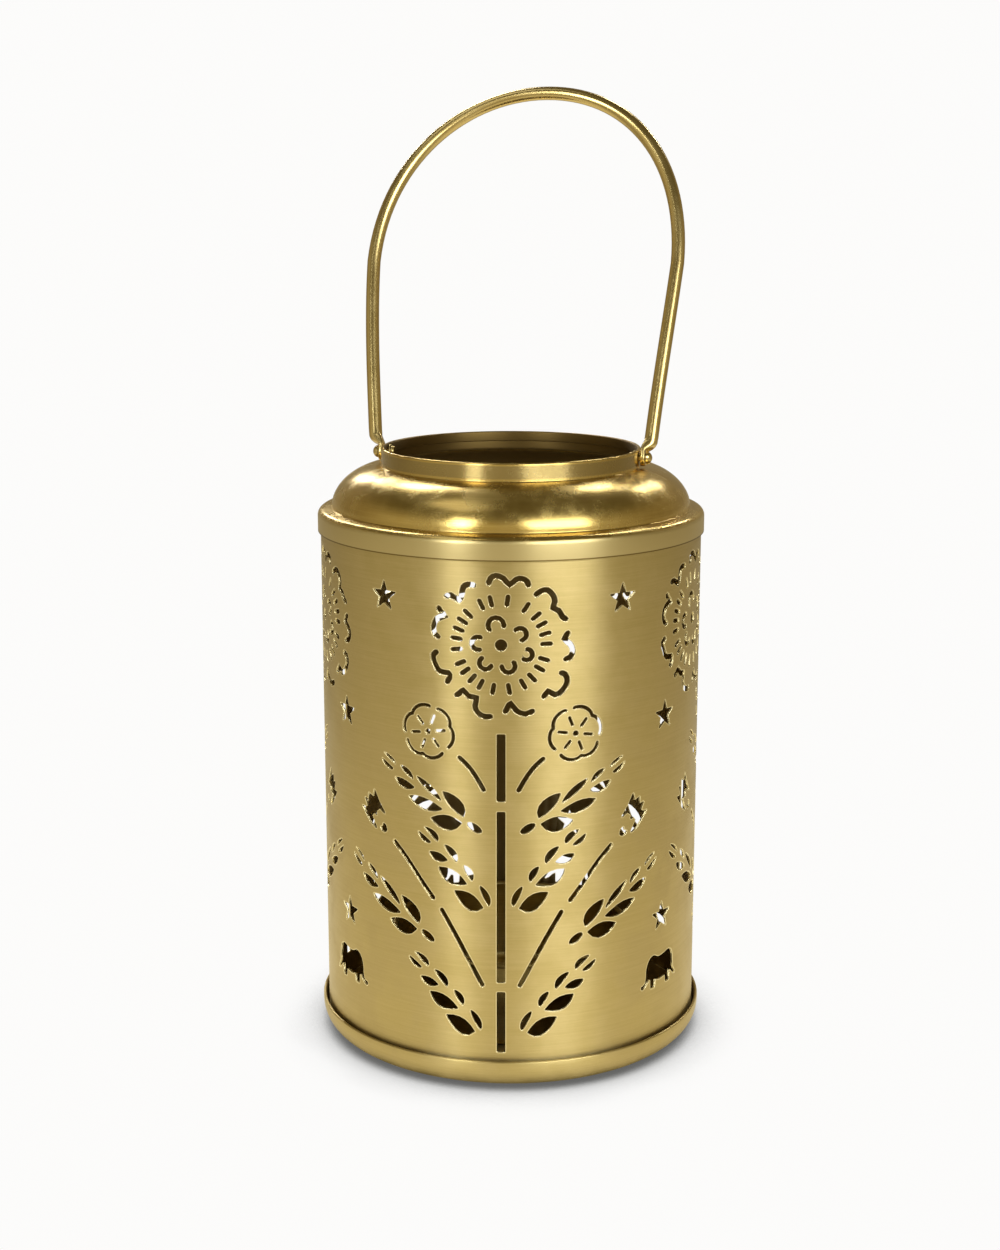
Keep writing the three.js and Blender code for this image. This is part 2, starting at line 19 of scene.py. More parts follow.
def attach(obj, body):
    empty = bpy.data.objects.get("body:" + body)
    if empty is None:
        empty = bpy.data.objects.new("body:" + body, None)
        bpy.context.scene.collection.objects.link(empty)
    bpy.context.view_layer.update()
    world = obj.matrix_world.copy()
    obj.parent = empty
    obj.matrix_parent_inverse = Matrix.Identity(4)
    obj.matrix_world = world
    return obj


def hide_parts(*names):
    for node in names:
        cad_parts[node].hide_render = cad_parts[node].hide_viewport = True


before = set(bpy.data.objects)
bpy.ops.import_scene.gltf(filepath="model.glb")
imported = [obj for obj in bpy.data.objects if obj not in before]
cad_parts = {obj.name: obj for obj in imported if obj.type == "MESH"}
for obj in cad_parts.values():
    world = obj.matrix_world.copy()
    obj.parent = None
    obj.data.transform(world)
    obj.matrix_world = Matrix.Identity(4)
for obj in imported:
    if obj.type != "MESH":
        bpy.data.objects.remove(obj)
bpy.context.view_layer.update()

LOG = logging.getLogger("lantern")
MM = 0.001
SHEET = 0.6
GAP = 0.3
PATTERN_TURN = math.radians(8)
BAIL_LEAN = math.radians(23.5)
CUT_EDGE = "cut_edge"
FULL_TURN = 2 * math.pi
QUARTER = math.pi / 2
MITRE_LIMIT = 0.3
LOOP_EDGES = 14
NEAR = 1e-5
SAME_POINT = 1e-4
DRILL_STEPS = 40
SHARP_CORNER = math.radians(28)
CORNER_SHARE = 0.45

Outline = list[Vector]
Pair = tuple[float, float]
Pairs = tuple[Pair, ...]
Color = tuple[float, float, float]
Socket = bpy.types.NodeSocket


class Body(Enum):
    """The two bodies that pieces ride on."""

    LANTERN = "lantern"
    BAIL = "bail"


class Slot(Enum):
    """The finishes of the record."""

    SATIN = "satin_brass"
    AGED = "aged_brass"
    BRIGHT = "bright_brass"


# Flat geometry


def point(x: float, z: float) -> Vector:
    """A point in a flat drawing."""
    return Vector((x, z))


def drawn(pairs: Pairs) -> Outline:
    """The points of a flat drawing, from pairs of x and z."""
    return [point(x, z) for x, z in pairs]


def polar(r: float, angle: float) -> Vector:
    """A point at a distance and an angle from the origin."""
    return point(r * math.cos(angle), r * math.sin(angle))


def arc(centre: Vector, r: float, start: float, end: float, steps: int) -> Outline:
    """The points of an arc from one angle to another, both ends included."""
    return [centre + polar(r, start + (end - start) * i / steps) for i in range(steps + 1)]


def smooth_step(t: float) -> float:
    """A share from 0 to 1 that starts and ends gently, and is held outside that range."""
    t = min(max(t, 0), 1)
    return t * t * (3 - 2 * t)


def bezier(a: Vector, b: Vector, c: Vector, d: Vector, steps: int) -> Outline:
    """Points of a cubic curve, both ends included.

    Args:
        a: the first point.
        b: the handle of the first point.
        c: the handle of the last point.
        d: the last point.
        steps: how many chords it has.

    Returns:
        The points in order.
    """
    points = []
    for i in range(steps + 1):
        t = i / steps
        s = 1 - t
        points.append(a * s ** 3 + b * 3 * s * s * t + c * 3 * s * t * t + d * t ** 3)
    return points


def beside(line: Outline, distance: float, closed: bool = False) -> Outline:
    """The points of a line moved sideways to its left, with mitred corners."""
    return [p + step * distance for p, step in zip(line, side_steps(line, closed))]


def side_steps(line: Outline, closed: bool) -> Outline:
    """The step to the left, at each point of a line, that moves its edges by one unit.

    Args:
        line: the line's points.
        closed: whether the last point joins the first.

    Returns:
        One vector for each point.
    """
    steps = []
    last = len(line) - 1
    for i, here in enumerate(line):
        before = line[i - 1] if i or closed else here
        after = line[(i + 1) % len(line)] if i < last or closed else here
        back = (here - before).normalized()
        ahead = (after - here).normalized()
        along = (back + ahead).normalized()
        reach = abs(along.dot(ahead)) if back.length and ahead.length else 1
        steps.append(point(-along.y, along.x) / max(reach, MITRE_LIMIT))
    return steps


def smooth_line(points: Outline, steps: int) -> Outline:
    """A smooth line through a few points.

    Args:
        points: the points that it goes through.
        steps: chords between two of them.

    Returns:
        The line's points.
    """
    ends = [points[0] * 2 - points[1], *points, points[-1] * 2 - points[-2]]
    line = [points[0]]
    for before, here, there, after in zip(ends, ends[1:], ends[2:], ends[3:]):
        pull = (there - before) / 6
        push = (after - here) / 6
        line += bezier(here, here + pull, there - push, there, steps)[1:]
    return line


def stroke(line: Outline, width: float, end_steps: int = 4) -> Outline:
    """A slot of even width along a line, with round ends.

    Args:
        line: the slot's middle line, from one end of the slot to the other.
        width: its width.
        end_steps: chords in each round end.

    Returns:
        The slot's outline, anticlockwise.
    """
    half = width / 2
    body = shortened(shortened(line, half)[::-1], half)[::-1]
    first = body[1] - body[0]
    last = body[-1] - body[-2]
    start_angle = math.atan2(first.y, first.x)
    end_angle = math.atan2(last.y, last.x)
    right = beside(body, -half)
    left = beside(body, half)
    head_cap = arc(body[-1], half, end_angle - QUARTER, end_angle + QUARTER, end_steps)
    foot_cap = arc(body[0], half, start_angle + QUARTER, start_angle + 3 * QUARTER, end_steps)
    return unlooped([*right, *head_cap[1:-1], *reversed(left), *foot_cap[1:-1]])


def shortened(line: Outline, cut: float) -> Outline:
    """A line without a stretch of the given length at its start."""
    rest = list(line)
    while (rest[1] - rest[0]).length <= cut:
        cut -= (rest[1] - rest[0]).length
        rest.pop(0)
    rest[0] = rest[0] + (rest[1] - rest[0]).normalized() * cut
    return rest


def unlooped(outline: Outline) -> Outline:
    """A closed outline without the small loops that a sideways move leaves in tight bends.

    Args:
        outline: the points.

    Returns:
        The outline with each loop replaced by its crossing.
    """
    points = list(outline)
    for _ in range(len(outline)):
        for ahead in range(min(LOOP_EDGES, len(points) - 3), 1, -1):
            here, there = points[0:2], points[ahead:ahead + 2]
            crossing = intersect_line_line_2d(*here, *there)
            if crossing and (crossing - here[0]).length > NEAR:
                points[1:ahead + 1] = [crossing]
                break
        points.append(points.pop(0))
    return points


def turn_at(outline: Outline, i: int) -> float:
    """The angle by which an outline turns to the left at one of its points."""
    back = outline[i] - outline[i - 1]
    ahead = outline[(i + 1) % len(outline)] - outline[i]
    return math.atan2(back.x * ahead.y - back.y * ahead.x, back.dot(ahead))


def eased(outline: Outline, radius: float, steps: int = 2) -> Outline:
    """An anticlockwise outline with its sharp outward corners made round.

    Args:
        outline: the points.
        radius: the radius of the corners.
        steps: chords in each corner.

    Returns:
        The new outline.
    """
    points = []
    for i, here in enumerate(outline):
        turn = turn_at(outline, i)
        if turn < SHARP_CORNER:
            points.append(here)
            continue
        before = outline[i - 1]
        after = outline[(i + 1) % len(outline)]
        shorter = min((here - before).length, (after - here).length)
        cut = min(radius * math.tan(turn / 2), shorter * CORNER_SHARE)
        r = cut / math.tan(turn / 2)
        back = (here - before).normalized()
        start = here - back * cut
        inward = point(-back.y, back.x)
        centre = start + inward * r
        first = math.atan2(start.y - centre.y, start.x - centre.x)
        points += arc(centre, r, first, first + turn, steps)
    return points


def placed(outlines: list[Outline], at: Vector, turn: float = 0,
           mirror: bool = False) -> list[Outline]:
    """Outlines turned about their own origin, moved, and mirrored where that is asked.

    Args:
        outlines: anticlockwise outlines.
        at: where their origin goes.
        turn: the angle that they turn by.
        mirror: whether x changes its sign at the end.

    Returns:
        New anticlockwise outlines.
    """
    rotation = Matrix.Rotation(turn, 2)
    result = []
    for outline in outlines:
        moved = [rotation @ p + at for p in outline]
        if mirror:
            moved = [point(-p.x, p.y) for p in reversed(moved)]
        result.append(moved)
    return result


# The pierced pattern, in millimetres along the rolled sheet and up from its foot


def round_hole(r: float, corners: int) -> Outline:
    """A round cut-out about the origin."""
    return arc(point(0, 0), r, 0, FULL_TURN * (corners - 1) / corners, corners - 1)


def ray(angle: float, inner: float, outer: float, width: float) -> Outline:
    """A straight slot that points away from the origin."""
    return stroke([polar(inner, angle), polar(outer, angle)], width)


@dataclass
class Flower:
    """The large flower: an eye, horseshoe petals, a ring of rays and a scalloped border.

    A petal is the place of its middle and its radius. Ray angles are in degrees. A line of the
    border is the points that its slot goes through.
    """

    rise: float = 130.2
    eye: float = 1.85
    petal_width: float = 1.45
    petal_mouth: float = math.radians(52)
    petals: tuple[tuple[float, float, float], ...] = (
        (-1.55, 6.0, 2.4), (-6.9, 0.4, 2.0), (-4.7, -5.6, 1.9), (2.2, -6.4, 2.0), (7.7, -2.9, 1.7),
        (5.7, 3.3, 1.9),
    )
    ray_inner: float = 11.7
    ray_outer: float = 15.6
    ray_width: float = 1.4
    ray_angles: tuple[float, ...] = (
        82, 57, 40, 27, 14, 1, -19, -32, -47, -61, -80, -100, -117, -130, -143, -155, -173,
        173, 161, 149, 137, 116, 103,
    )
    border_width: float = 1.7
    border: tuple[Pairs, ...] = (
        ((-3.9, 18.0), (-3.2, 20.2), (-1.6, 21.1), (0.7, 20.3), (2.5, 18.4), (4.5, 20.0), (6.2, 20.2),
         (7.8, 19.3), (8.2, 17.4)),
        ((-17.4, 14.0), (-15.2, 14.7), (-12.8, 13.4), (-11.8, 15.3), (-11.4, 17.3), (-10.0, 18.2),
         (-7.4, 18.0)),
        ((-19.5, 11.3), (-18.6, 9.6), (-17.4, 8.3), (-19.8, 7.2), (-20.9, 4.8), (-20.4, 2.5),
         (-18.7, 1.4)),
        ((-19.3, -2.6), (-21.1, -4.0), (-20.4, -6.8), (-18.9, -8.9), (-16.2, -9.2), (-15.8, -10.6),
         (-17.1, -12.6)),
        ((-14.3, -16.2), (-12.8, -15.3), (-11.5, -14.3), (-9.8, -16.0), (-7.5, -16.4), (-7.9, -18.8),
         (-7.1, -20.9), (-4.9, -22.1), (-2.4, -21.9)),
        ((1.0, -21.2), (1.9, -19.2), (2.9, -18.0), (4.7, -20.2), (7.3, -21.2), (10.2, -20.0)),
        ((12.5, -16.7), (14.2, -14.4), (16.4, -15.6), (18.6, -14.3), (20.1, -11.8), (19.5, -9.4),
         (17.5, -8.7)),
        ((20.8, 3.9), (19.2, 1.6), (21.0, -0.2), (21.8, -2.2), (21.0, -4.2), (18.8, -4.9)),
        ((9.8, 14.8), (11.8, 16.3), (13.9, 16.6), (15.6, 14.9), (16.1, 13.0), (15.6, 11.2),
         (17.4, 10.2), (18.5, 8.3), (20.3, 7.2)),
    )

    def outlines(self) -> list[Outline]:
        """The flower's cut-outs about its own middle."""
        cuts = [round_hole(self.eye, corners=16)]
        for x, z, r in self.petals:
            angle = math.atan2(z, x)
            line = arc(point(x, z), r, angle - math.pi + self.petal_mouth,
                       angle + math.pi - self.petal_mouth, steps=9)
            cuts.append(stroke(line, self.petal_width, end_steps=3))
        for degrees in self.ray_angles:
            cuts.append(ray(math.radians(degrees), self.ray_inner, self.ray_outer, self.ray_width))
        for line in self.border:
            line = smooth_line(drawn(line), steps=2)
            cuts.append(stroke(line, self.border_width, end_steps=3))
        return cuts


@dataclass
class SmallFlower:
    """The small flower: an eye, six rays and three strokes of a scalloped border."""

    at: Pair = (23, 102.2)
    r: float = 8.4
    eye: float = 0.9
    rays: int = 6
    ray_inner: float = 2.5
    ray_outer: float = 5.9
    ray_width: float = 0.95
    turn: float = math.radians(-8)
    strokes: int = 3
    stroke_turn: float = math.radians(52)
    stroke_chords: int = 16
    lobes: int = 6
    lobe_power: float = 0.7
    scallop: float = 1.0
    bridge: float = 1.9
    border_width: float = 1.05

    def outlines(self) -> list[Outline]:
        """The flower's cut-outs about its own middle."""
        cuts = [round_hole(self.eye, corners=10)]
        for i in range(self.rays):
            angle = self.turn + FULL_TURN * i / self.rays
            cuts.append(ray(angle, self.ray_inner, self.ray_outer, self.ray_width))
        span = FULL_TURN / self.strokes
        reach = span / 2 - self.bridge / (2 * self.r)
        for i in range(self.strokes):
            middle = self.stroke_turn + self.turn + span * i
            line = []
            for k in range(self.stroke_chords + 1):
                angle = middle + reach * (2 * k / self.stroke_chords - 1)
                wave = abs(math.sin(self.lobes * (angle - middle) / 2)) ** self.lobe_power
                line.append(polar(self.r - self.scallop + self.scallop * wave, angle))
            cuts.append(stroke(line, self.border_width, end_steps=3))
        return cuts


@dataclass
class Leaf:
    """A leaf of a sprig.

    Start and length are places along the midrib, tip and crest are heights above it. Heel and the
    pulls shape the edges: they are shares of the length, or heights.
    """

    start: float
    length: float
    tip: float
    crest: float
    heel: float = 0
    foot_pull: Pair = (0.45, -0.15)
    tip_pull: Pair = (0.72, 0.12)
    crest_at: float = 0.68

    def outline(self, unit: float, rib: float) -> Outline:
        """The leaf above a midrib that lies along +x.

        Args:
            unit: the scale along the midrib.
            rib: half the midrib's width.

        Returns:
            The outline, anticlockwise.
        """
        foot = point(self.start * unit, rib)
        length = self.length * unit
        tip = foot + point(length, self.tip)
        foot_pull = foot + point(length * self.foot_pull[0], self.foot_pull[1])
        tip_pull = foot + point(length * self.tip_pull[0], self.tip * self.tip_pull[1])
        crest = foot + point(length * self.crest_at, self.crest)
        heel = foot + point(length * self.heel, self.crest)
        inner = bezier(foot, foot_pull, tip_pull, tip, steps=5)
        outer = bezier(tip, crest, heel, foot, steps=6)
        return [*inner, *outer[1:-1]]


@dataclass
class Sprig:
    """A leafy sprig: an uncut midrib between two rows of leaves, given from foot to tip."""

    foot: Pair
    tip: Pair
    lower: tuple[Leaf, ...]
    upper: tuple[Leaf, ...]
    bow: float = 0
    bud: bool = False
    rib: float = 0.85
    bud_length: float = 5.3
    bud_width: float = 2.4
    bud_gap: float = 1.2
    bud_corners: int = 14
    round_r: float = 0.3

    def outlines(self) -> list[Outline]:
        """The sprig's cut-outs in the drawing of the plant, to the right of its stem."""
        span = point(*self.tip) - point(*self.foot)
        first = self.bud_length + self.bud_gap if self.bud else 0
        reach = max(leaf.start + leaf.length for leaf in (*self.lower, *self.upper))
        unit = (span.length - first) / reach
        rows = []
        for leaf in self.lower:
            rows.append([point(p.x + first, -p.y) for p in reversed(leaf.outline(unit, self.rib))])
        for leaf in self.upper:
            rows.append([point(p.x + first, p.y) for p in leaf.outline(unit, self.rib)])
        for cut in rows:
            for p in cut:
                t = p.x / span.length
                p.y += self.bow * 4 * t * (1 - t)
        if self.bud:
            half = point(self.bud_length / 2, self.bud_width / 2)
            angles = [FULL_TURN * i / self.bud_corners for i in range(self.bud_corners)]
            rows.append([point(half.x + half.x * math.cos(a), half.y * math.sin(a)) for a in angles])
        turn = math.atan2(span.y, span.x)
        return placed([eased(cut, self.round_r) for cut in rows], point(*self.foot), turn)


LONG_LOWER = (Leaf(0.1, 8.9, 4.9, 6.2), Leaf(6.9, 11.5, 3.8, 4.9, 0.27),
              Leaf(17.6, 7.5, 1.9, 3.6, 0.27), Leaf(26.6, 5.4, 0.1, 1.7, 0.05))
LONG_UPPER = (Leaf(0.5, 9.7, 3.1, 5.0, 0.05), Leaf(8.2, 11.4, 1.9, 2.8, 0.34),
              Leaf(19.2, 6.2, 1.0, 2.2, 0.28), Leaf(26.7, 5.6, 0.2, 1.3, 0.1))
SHORT_LOWER = (Leaf(0.3, 9.2, 4.8, 6.0), Leaf(8.3, 9.2, 3.9, 6.0, 0.3),
               Leaf(17.0, 5.5, 2.7, 3.9, 0.2), Leaf(23.9, 5.1, 0.3, 2.0, 0.05))
SHORT_UPPER = (Leaf(-0.4, 6.5, 1.3, 2.6, 0.05), Leaf(8.2, 5.2, 1.2, 2.7, 0.1),
               Leaf(15.0, 6.4, 1.0, 2.8, 0.15), Leaf(22.9, 5.9, 0.5, 2.5, 0.1))


@dataclass
class Plant:
    """The plant: a stem, branches, sprigs, tulip buds and small flowers, alike on both sides."""

    stem_width: float = 2.7
    stems: Pairs = ((0, 20), (23.1, 78.3), (81.5, 102.7))
    branch_width: float = 1.45
    branches: tuple[Pairs, ...] = (
        ((5.5, 21.6), (9.2, 28.6), (13.9, 37.4), (19.1, 46.2)),
        ((21.2, 48.6), (26.0, 54.6), (31.0, 60.8), (35.9, 65.6)),
        ((5.0, 84.5), (7.3, 88.6), (9.9, 92.2), (13.3, 95.3)),
    )
    sprigs: tuple[Sprig, ...] = (
        Sprig((5.9, 71.6), (40.2, 92.4), LONG_LOWER, LONG_UPPER, bud=True),
        Sprig((21.4, 34.9), (54.6, 58.3), LONG_LOWER, LONG_UPPER, bud=True),
        Sprig((4.6, 47.6), (25.9, 71.0), SHORT_LOWER, SHORT_UPPER, bow=1.6),
        Sprig((7.3, 6.8), (29.6, 29.6), SHORT_LOWER, SHORT_UPPER, bow=1.6),
    )
    small_flower: SmallFlower = field(default_factory=SmallFlower)
    bud_at: Pair = (44.5, 74.3)
    bud_turn: float = math.radians(-38)
    bud_crown: Pairs = (
        (2.7, -7.0), (4.2, -3.4), (4.4, -0.4), (4.7, 3.5), (3.3, 1.9), (2.3, 1.8), (1.6, 5.0),
        (0.5, 3.1), (-1.1, 5.1), (-2.2, 2.9), (-4.5, 5.0), (-3.8, 0.5), (-3.7, -5.3), (-2.4, -1.6),
        (-0.7, -1.6), (0.0, -3.1), (0.8, -1.6), (2.1, -1.8),
    )
    bud_foot: Pairs = (
        (1.1, -6.1), (0.1, -6.6), (-1.1, -5.6), (-1.5, -7.2), (-0.9, -8.7), (0.6, -8.6), (1.3, -7.4),
    )
    round_r: float = 0.35
    bud_foot_round_r: float = 0.6

    def tulip_bud(self) -> list[Outline]:
        """A bud with a three-pointed crown, two long sepals and a separate foot."""
        return [eased(drawn(self.bud_crown), self.round_r),
                eased(drawn(self.bud_foot), self.bud_foot_round_r)]

    def outlines(self) -> list[Outline]:
        """The plant's cut-outs about the foot of its stem."""
        half = self.stem_width / 2
        slots = [drawn(((-half, low), (half, low), (half, high), (-half, high)))
                 for low, high in self.stems]
        cuts = [eased(slot, self.round_r) for slot in slots]
        side = [stroke(smooth_line(drawn(line), steps=3), self.branch_width)
                for line in self.branches]
        for sprig in self.sprigs:
            side += sprig.outlines()
        side += placed(self.tulip_bud(), point(*self.bud_at), self.bud_turn)
        side += placed(self.small_flower.outlines(), point(*self.small_flower.at))
        return [*cuts, *side, *placed(side, point(0, 0), mirror=True)]


@dataclass
class Pattern:
    """The whole pierced pattern. Places are in degrees round the body from its axis."""

    radius: float = 61.6
    flower: Flower = field(default_factory=Flower)
    plant: Plant = field(default_factory=Plant)
    flower_places: tuple[float, ...] = (0, 72, 145, -72, -145)
    high_star_places: tuple[int, ...] = (36, 108, -180, -108, -36)
    plant_places: tuple[float, ...] = (0, 108.6, -108.6)
    side_places: tuple[int, ...] = (54, -54, 162, -162)
    star_r: float = 5.2
    star_inner: float = 2.1
    high_star: float = 142.6
    middle_star: float = 102.9
    low_star: float = 36.6
    star_round_r: float = 0.22
    elephant_at: float = 18.6
    elephant_length: float = 19.3
    elephant_round_r: float = 0.35
    elephant_back: Pairs = (
        (-0.40, 0.00), (-0.36, 0.20), (-0.25, 0.28), (-0.08, 0.25), (0.06, 0.24), (0.19, 0.29),
        (0.30, 0.24), (0.37, 0.10), (0.38, -0.05),
    )
    elephant_trunk_and_feet: Pairs = (
        (0.40, -0.14), (0.45, -0.18), (0.49, -0.18), (0.50, -0.22), (0.47, -0.25), (0.41, -0.23),
        (0.35, -0.17), (0.31, -0.11), (0.27, -0.12), (0.26, -0.28), (0.15, -0.28), (0.14, -0.15),
        (0.02, -0.17), (-0.14, -0.15), (-0.16, -0.28), (-0.28, -0.28), (-0.28, -0.10), (-0.33, -0.12),
        (-0.41, -0.20), (-0.50, -0.23), (-0.46, -0.17), (-0.40, -0.08),
    )

    def star(self) -> Outline:
        """A five-pointed star about its own middle."""
        radii = (self.star_r, self.star_inner) * 5
        points = [polar(r, QUARTER + math.pi * i / 5) for i, r in enumerate(radii)]
        return eased(points, self.star_round_r)

    def elephant(self) -> Outline:
        """A walking elephant in side view that looks towards +x."""
        back = smooth_line(drawn(self.elephant_back), steps=3)
        line = reversed([*back, *drawn(self.elephant_trunk_and_feet)])
        return eased([p * self.elephant_length for p in line], self.elephant_round_r)

    def outlines(self) -> list[Outline]:
        """Every cut-out, in millimetres along the sheet from the pattern's axis and up."""
        cuts = []
        flower = self.flower.outlines()
        plant = self.plant.outlines()
        star = self.star()
        elephant = self.elephant()
        for place in self.flower_places:
            cuts += placed(flower, self.spot(place, self.flower.rise))
        for place in self.high_star_places:
            cuts += placed([star], self.spot(place, self.high_star))
        for place in self.plant_places:
            cuts += placed(plant, self.spot(place, 0))
        for place in self.side_places:
            cuts += placed([star], self.spot(place, self.middle_star))
            cuts += placed([star], self.spot(place, self.low_star))
            cut = placed([elephant], point(0, 0), mirror=place > 0)
            cuts += placed(cut, self.spot(place, self.elephant_at))
        return cuts

    def spot(self, place: float, rise: float) -> Vector:
        """The point on the sheet at an angle in degrees round the body and a height."""
        return point(self.radius * math.radians(place), rise)


# Mesh helpers


def finish_mesh(name: str, bm: bmesh.types.BMesh, sharp: float = 38,
                scale: float = MM) -> bpy.types.Object:
    """Turns a bmesh into a smooth-shaded object at the origin, in metres.

    Args:
        name: the object's name.
        bm: the mesh; it is freed.
        sharp: edges that turn by more than this many degrees stay sharp.
        scale: metres in one unit of the mesh.

    Returns:
        The object, linked to the scene.
    """
    bmesh.ops.scale(bm, vec=(scale, scale, scale), verts=bm.verts)
    mesh = bpy.data.meshes.new(name)
    bm.to_mesh(mesh)
    bm.free()
    mesh.shade_smooth()
    mesh.set_sharp_from_angle(angle=math.radians(sharp))
    obj = bpy.data.objects.new(name, mesh)
    bpy.context.scene.collection.objects.link(obj)
    return obj


def spun(profile: Outline, steps: int) -> bmesh.types.BMesh:
    """A closed profile, or one that starts and ends on the axis, spun about +Z.

    Args:
        profile: points of distance from the axis and height.
        steps: facets in a full turn.

    Returns:
        The closed shell, with its faces pointing out.
    """
    bm = bmesh.new()
    verts = [bm.verts.new((p.x, 0, p.y)) for p in profile]
    on_axis = max(profile[0].x, profile[-1].x) < NEAR
    pairs = zip(verts, verts[1:] if on_axis else [*verts[1:], verts[0]])
    edges = [bm.edges.new(pair) for pair in pairs]
    bmesh.ops.spin(bm, geom=[*verts, *edges], cent=(0, 0, 0), axis=(0, 0, 1), angle=FULL_TURN,
                   steps=steps, use_merge=True, use_duplicate=False)
    bmesh.ops.remove_doubles(bm, verts=bm.verts, dist=SAME_POINT)
    bmesh.ops.recalc_face_normals(bm, faces=bm.faces)
    return bm


def extruded(bm: bmesh.types.BMesh, ring: list[bmesh.types.BMEdge]) -> tuple[set, list]:
    """Extrudes one or more rings of edges.

    Args:
        bm: the mesh that they are part of.
        ring: the edges.

    Returns:
        The points and the edges of the new rings.
    """
    grown = bmesh.ops.extrude_edge_only(bm, edges=ring)["geom"]
    verts = {item for item in grown if isinstance(item, bmesh.types.BMVert)}
    edges = [item for item in grown
             if isinstance(item, bmesh.types.BMEdge) and verts.issuperset(item.verts)]
    return verts, edges


def sheet_section(outer: Outline, top: Outline) -> Outline:
    """The closed section of a sheet whose outer face is given, with metal to the line's left."""
    return [*outer, *top, *reversed(beside(outer, SHEET))]


def report(obj: bpy.types.Object, body: Body, slot: Slot, *nodes: str) -> None:
    """Attaches a finished piece to its body, hides the construction nodes that it stands for, and logs
    it.

    Args:
        obj: the piece.
        body: the body that it rides on.
        slot: the finish of the record that it has; not used.
        nodes: the construction nodes that it stands for.
    """
    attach(obj, body.value)
    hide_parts(*nodes)
    obj.data.calc_loop_triangles()
    LOG.info("%s: %d triangles, rides on %s", obj.name, len(obj.data.loop_triangles), body.value)


# Finishes


@dataclass
class Nodes:
    """A short way to add and link the nodes of one tree."""

    tree: bpy.types.NodeTree

    def add(self, kind: str, settings: dict | None = None, **inputs: object) -> bpy.types.Node:
        """Adds a node.

        Args:
            kind: the node's type without its leading ShaderNode.
            settings: values of its own properties.
            inputs: a value or an output socket for each named input; spaces are underscores, and
                a name such as _1 means the input of that number.

        Returns:
            The node.
        """
        node = self.tree.nodes.new(kind if kind.startswith("Node") else "ShaderNode" + kind)
        for key, value in (settings or {}).items():
            setattr(node, key, value)
        for key, value in inputs.items():
            socket = node.inputs[int(key[1:]) if key[0] == "_" else key.replace("_", " ")]
            if isinstance(value, Socket):
                self.tree.links.new(value, socket)
            else:
                socket.default_value = value
        return node

    def ramp(self, value: Socket, low: float, high: float, out_low: float = 0,
             out_high: float = 1) -> Socket:
        """A value mapped smoothly from one range to another, and held at its ends."""
        node = self.add("MapRange", {"interpolation_type": "SMOOTHSTEP"}, Value=value, From_Min=low,
                        From_Max=high, To_Min=out_low, To_Max=out_high)
        return node.outputs["Result"]

    def math(self, operation: str, *values: object) -> Socket:
        """The result of one calculation."""
        inputs = {f"_{i}": value for i, value in enumerate(values)}
        return self.add("Math", {"operation": operation}, **inputs).outputs[0]

    def vector(self, operation: str, *values: object) -> Socket:
        """The result of one calculation with vectors."""
        inputs = {f"_{i}": value for i, value in enumerate(values)}
        node = self.add("VectorMath", {"operation": operation}, **inputs)
        return node.outputs["Value" if operation in ("LENGTH", "DOT_PRODUCT") else "Vector"]

    def sum_of(self, a: Socket, a_share: float, b: Socket, b_share: float) -> Socket:
        """Two values added up by their shares."""
        return self.math("ADD", self.math("MULTIPLY", a, a_share), self.math("MULTIPLY", b, b_share))

    def mix(self, factor: object, a: object, b: object) -> Socket:
        """A colour between two."""
        return self.add("Mix", {"data_type": "RGBA"}, _0=factor, _6=a, _7=b).outputs[2]

    def fade(self, factor: object, a: object, b: object) -> Socket:
        """A number between two."""
        return self.add("Mix", {"data_type": "FLOAT"}, _0=factor, _2=a, _3=b).outputs[0]

    def noise(self, vector: Socket, scale: float, detail: float, roughness: float) -> Socket:
        """The value of a noise texture."""
        return self.add("TexNoise", None, Vector=vector, Scale=scale, Detail=detail,
                        Roughness=roughness).outputs[0]

    def by_ray(self, seen: bpy.types.Node, unseen: bpy.types.Node) -> Socket:
        """A shader that the camera sees, and another that all other rays meet."""
        camera_ray = self.add("LightPath").outputs["Is Camera Ray"]
        return self.add("MixShader", None, _0=camera_ray, _1=unseen.outputs[0],
                        _2=seen.outputs[0]).outputs[0]


def fresh_nodes(owner: bpy.types.Material | bpy.types.World) -> Nodes:
    """Empties the node tree of a material or world, and gives the helper for it."""
    owner.use_nodes = True
    owner.node_tree.nodes.clear()
    return Nodes(owner.node_tree)


def opaque(color: Color) -> tuple[float, float, float, float]:
    """A colour with full cover."""
    return (*color, 1)


